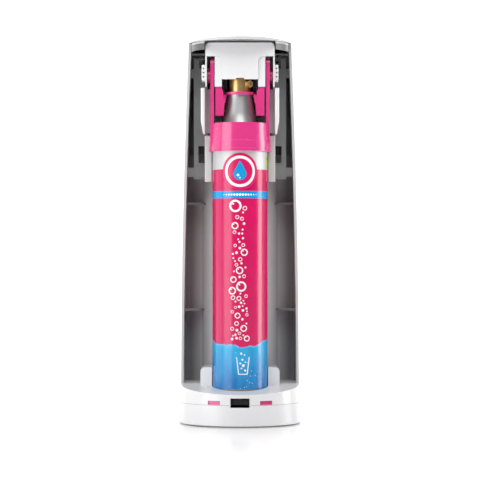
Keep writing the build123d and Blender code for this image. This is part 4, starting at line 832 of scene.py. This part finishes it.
class CARBONATOR_OT_stage(bpy.types.Operator):
    """Set the pale floor, the soft lights and the camera behind the machine"""

    bl_idname = "carbonator.stage"
    bl_label = "Stage"

    def floor(self):
        """Pale floor that sweeps up into a backdrop on the far side, a little dimmer round the foot."""
        near, far, bend, tall, half = 3.0, -2.6, 1.0, 3.0, 5.0
        bm = bmesh.new()
        line = [(near, 0.0), (far + bend, 0.0)]
        line += [(far + bend * (1 - math.sin(turn)), bend * (1 - math.cos(turn)))
                 for turn in (math.radians(angle) for angle in range(6, 90, 6))]
        line += [(far, bend), (far, tall)]
        row = [bm.verts.new((-half, y, z)) for y, z in line]
        edges = [bm.edges.new(pair) for pair in zip(row, row[1:])]
        swept = bmesh.ops.extrude_edge_only(bm, edges=edges)["geom"]
        far_side = [v for v in swept if isinstance(v, bmesh.types.BMVert)]
        bmesh.ops.translate(bm, verts=far_side, vec=(2 * half, 0, 0))
        bmesh.ops.recalc_face_normals(bm, faces=bm.faces)
        mesh = bpy.data.meshes.new("sweep")
        bm.to_mesh(mesh)
        bm.free()
        mesh.shade_smooth()
        recipe = Recipe("sweep_white", (0.9, 0.9, 0.9, 1), 0.2)
        recipe.shader.inputs["Specular IOR Level"].default_value = 0.4
        recipe.shader.inputs["Emission Color"].default_value = (1, 1, 1, 1)
        reach = recipe.node("ShaderNodeVectorMath", operation="LENGTH")
        recipe.link(recipe.coordinates(), reach.inputs[0])
        recipe.link(recipe.spread(reach.outputs["Value"], 0.06, 0.62, 0.12, 0.55),
                    recipe.shader.inputs["Emission Strength"])
        mesh.materials.append(recipe.material)
        floor = bpy.data.objects.new("sweep", mesh)
        bpy.context.scene.collection.objects.link(floor)

    def light(self, name, place, target, size, power):
        lamp = bpy.data.lights.new(name, "AREA")
        lamp.shape = "RECTANGLE"
        lamp.size, lamp.size_y = size
        lamp.energy = power
        holder = bpy.data.objects.new(name, lamp)
        holder.location = place
        holder.rotation_euler = (Vector(target) - Vector(place)).to_track_quat("-Z", "Y").to_euler()
        bpy.context.scene.collection.objects.link(holder)

    def sky(self):
        """Soft even surroundings, which look white behind the machine."""
        world = bpy.data.worlds.new("studio")
        world.use_nodes = True
        tree = world.node_tree
        soft = tree.nodes["Background"]
        soft.inputs["Color"].default_value = (1, 1, 1, 1)
        soft.inputs["Strength"].default_value = 0.06
        seen = tree.nodes.new("ShaderNodeBackground")
        seen.inputs["Strength"].default_value = 1.0
        seen.inputs["Color"].default_value = (1, 1, 1, 1)
        path = tree.nodes.new("ShaderNodeLightPath")
        mix = tree.nodes.new("ShaderNodeMixShader")
        tree.links.new(path.outputs["Is Camera Ray"], mix.inputs["Fac"])
        tree.links.new(soft.outputs[0], mix.inputs[1])
        tree.links.new(seen.outputs[0], mix.inputs[2])
        tree.links.new(mix.outputs[0], tree.nodes["World Output"].inputs["Surface"])
        bpy.context.scene.world = world

    def camera(self):
        stage = bpy.context.scene.carbonator_stage
        data = bpy.data.cameras.new("camera")
        data.lens = stage.lens
        data.sensor_width = SENSOR_WIDTH
        above_eye = stage.middle_height - stage.eye_height
        data.shift_y = above_eye / stage.camera_distance * stage.lens / SENSOR_WIDTH
        camera = bpy.data.objects.new("camera", data)
        camera.location = (0, CYLINDER_AXIS.y + stage.camera_distance, stage.eye_height)
        camera.rotation_euler = (math.radians(90), 0, math.radians(180))
        bpy.context.scene.collection.objects.link(camera)
        bpy.context.scene.camera = camera

    def execute(self, context):
        stage = bpy.context.scene.carbonator_stage
        middle = (0, 0, 0.22)
        self.floor()
        self.sky()
        self.light("key_left", (1.2, 0.95, 0.3), middle, (1.0, 1.1), stage.key_power)
        self.light("edge_left", (1.35, -0.15, 0.3), middle, (0.9, 1.1), 4)
        self.light("strip_right", (-1.3, 0.0, 0.3), middle, (0.5, 1.1), 12)
        self.light("high_rear", (0, 1.5, 1.9), middle, (1.8, 1.2), 30)
        self.light("overhead", (0, 0.2, 1.9), middle, (2.4, 2.4), 4)
        self.light("front_left", (-1.3, -1.5, 0.7), middle, (1.0, 1.2), 6)
        self.light("front_right", (1.4, -1.4, 0.6), middle, (1.0, 1.2), 5)
        self.camera()
        bpy.context.scene.view_settings.view_transform = "Standard"
        return {"FINISHED"}


class CARBONATOR_PT_panel(bpy.types.Panel):
    """Sizes, colours and steps of the carbonator"""

    bl_label = "Carbonator"
    bl_space_type = "VIEW_3D"
    bl_region_type = "UI"
    bl_category = "Carbonator"

    def draw(self, context):
        layout = self.layout
        for group in (context.scene.carbonator_colours, context.scene.carbonator_label,
                      context.scene.carbonator_stage):
            box = layout.box()
            for name in group.__annotations__:
                box.prop(group, name)
        for step in STEPS:
            layout.operator(step.bl_idname)


GROUPS = {"carbonator_colours": CarbonatorColours, "carbonator_label": CarbonatorLabel,
          "carbonator_stage": CarbonatorStage}
STEPS = (CARBONATOR_OT_stage, CARBONATOR_OT_housing, CARBONATOR_OT_pink_parts, CARBONATOR_OT_cylinder,
         CARBONATOR_OT_label, CARBONATOR_OT_trim)


def register():
    for cls in (*GROUPS.values(), *STEPS, CARBONATOR_PT_panel):
        bpy.utils.register_class(cls)
    for name, group in GROUPS.items():
        setattr(bpy.types.Scene, name, bpy.props.PointerProperty(type=group))


def unregister():
    for name in GROUPS:
        delattr(bpy.types.Scene, name)
    for cls in reversed((*GROUPS.values(), *STEPS, CARBONATOR_PT_panel)):
        bpy.utils.unregister_class(cls)


def main():
    register()
    for step in STEPS:
        area, name = step.bl_idname.split(".")
        getattr(getattr(bpy.ops, area), name)()
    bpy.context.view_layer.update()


if __name__ == "__main__":
    main()
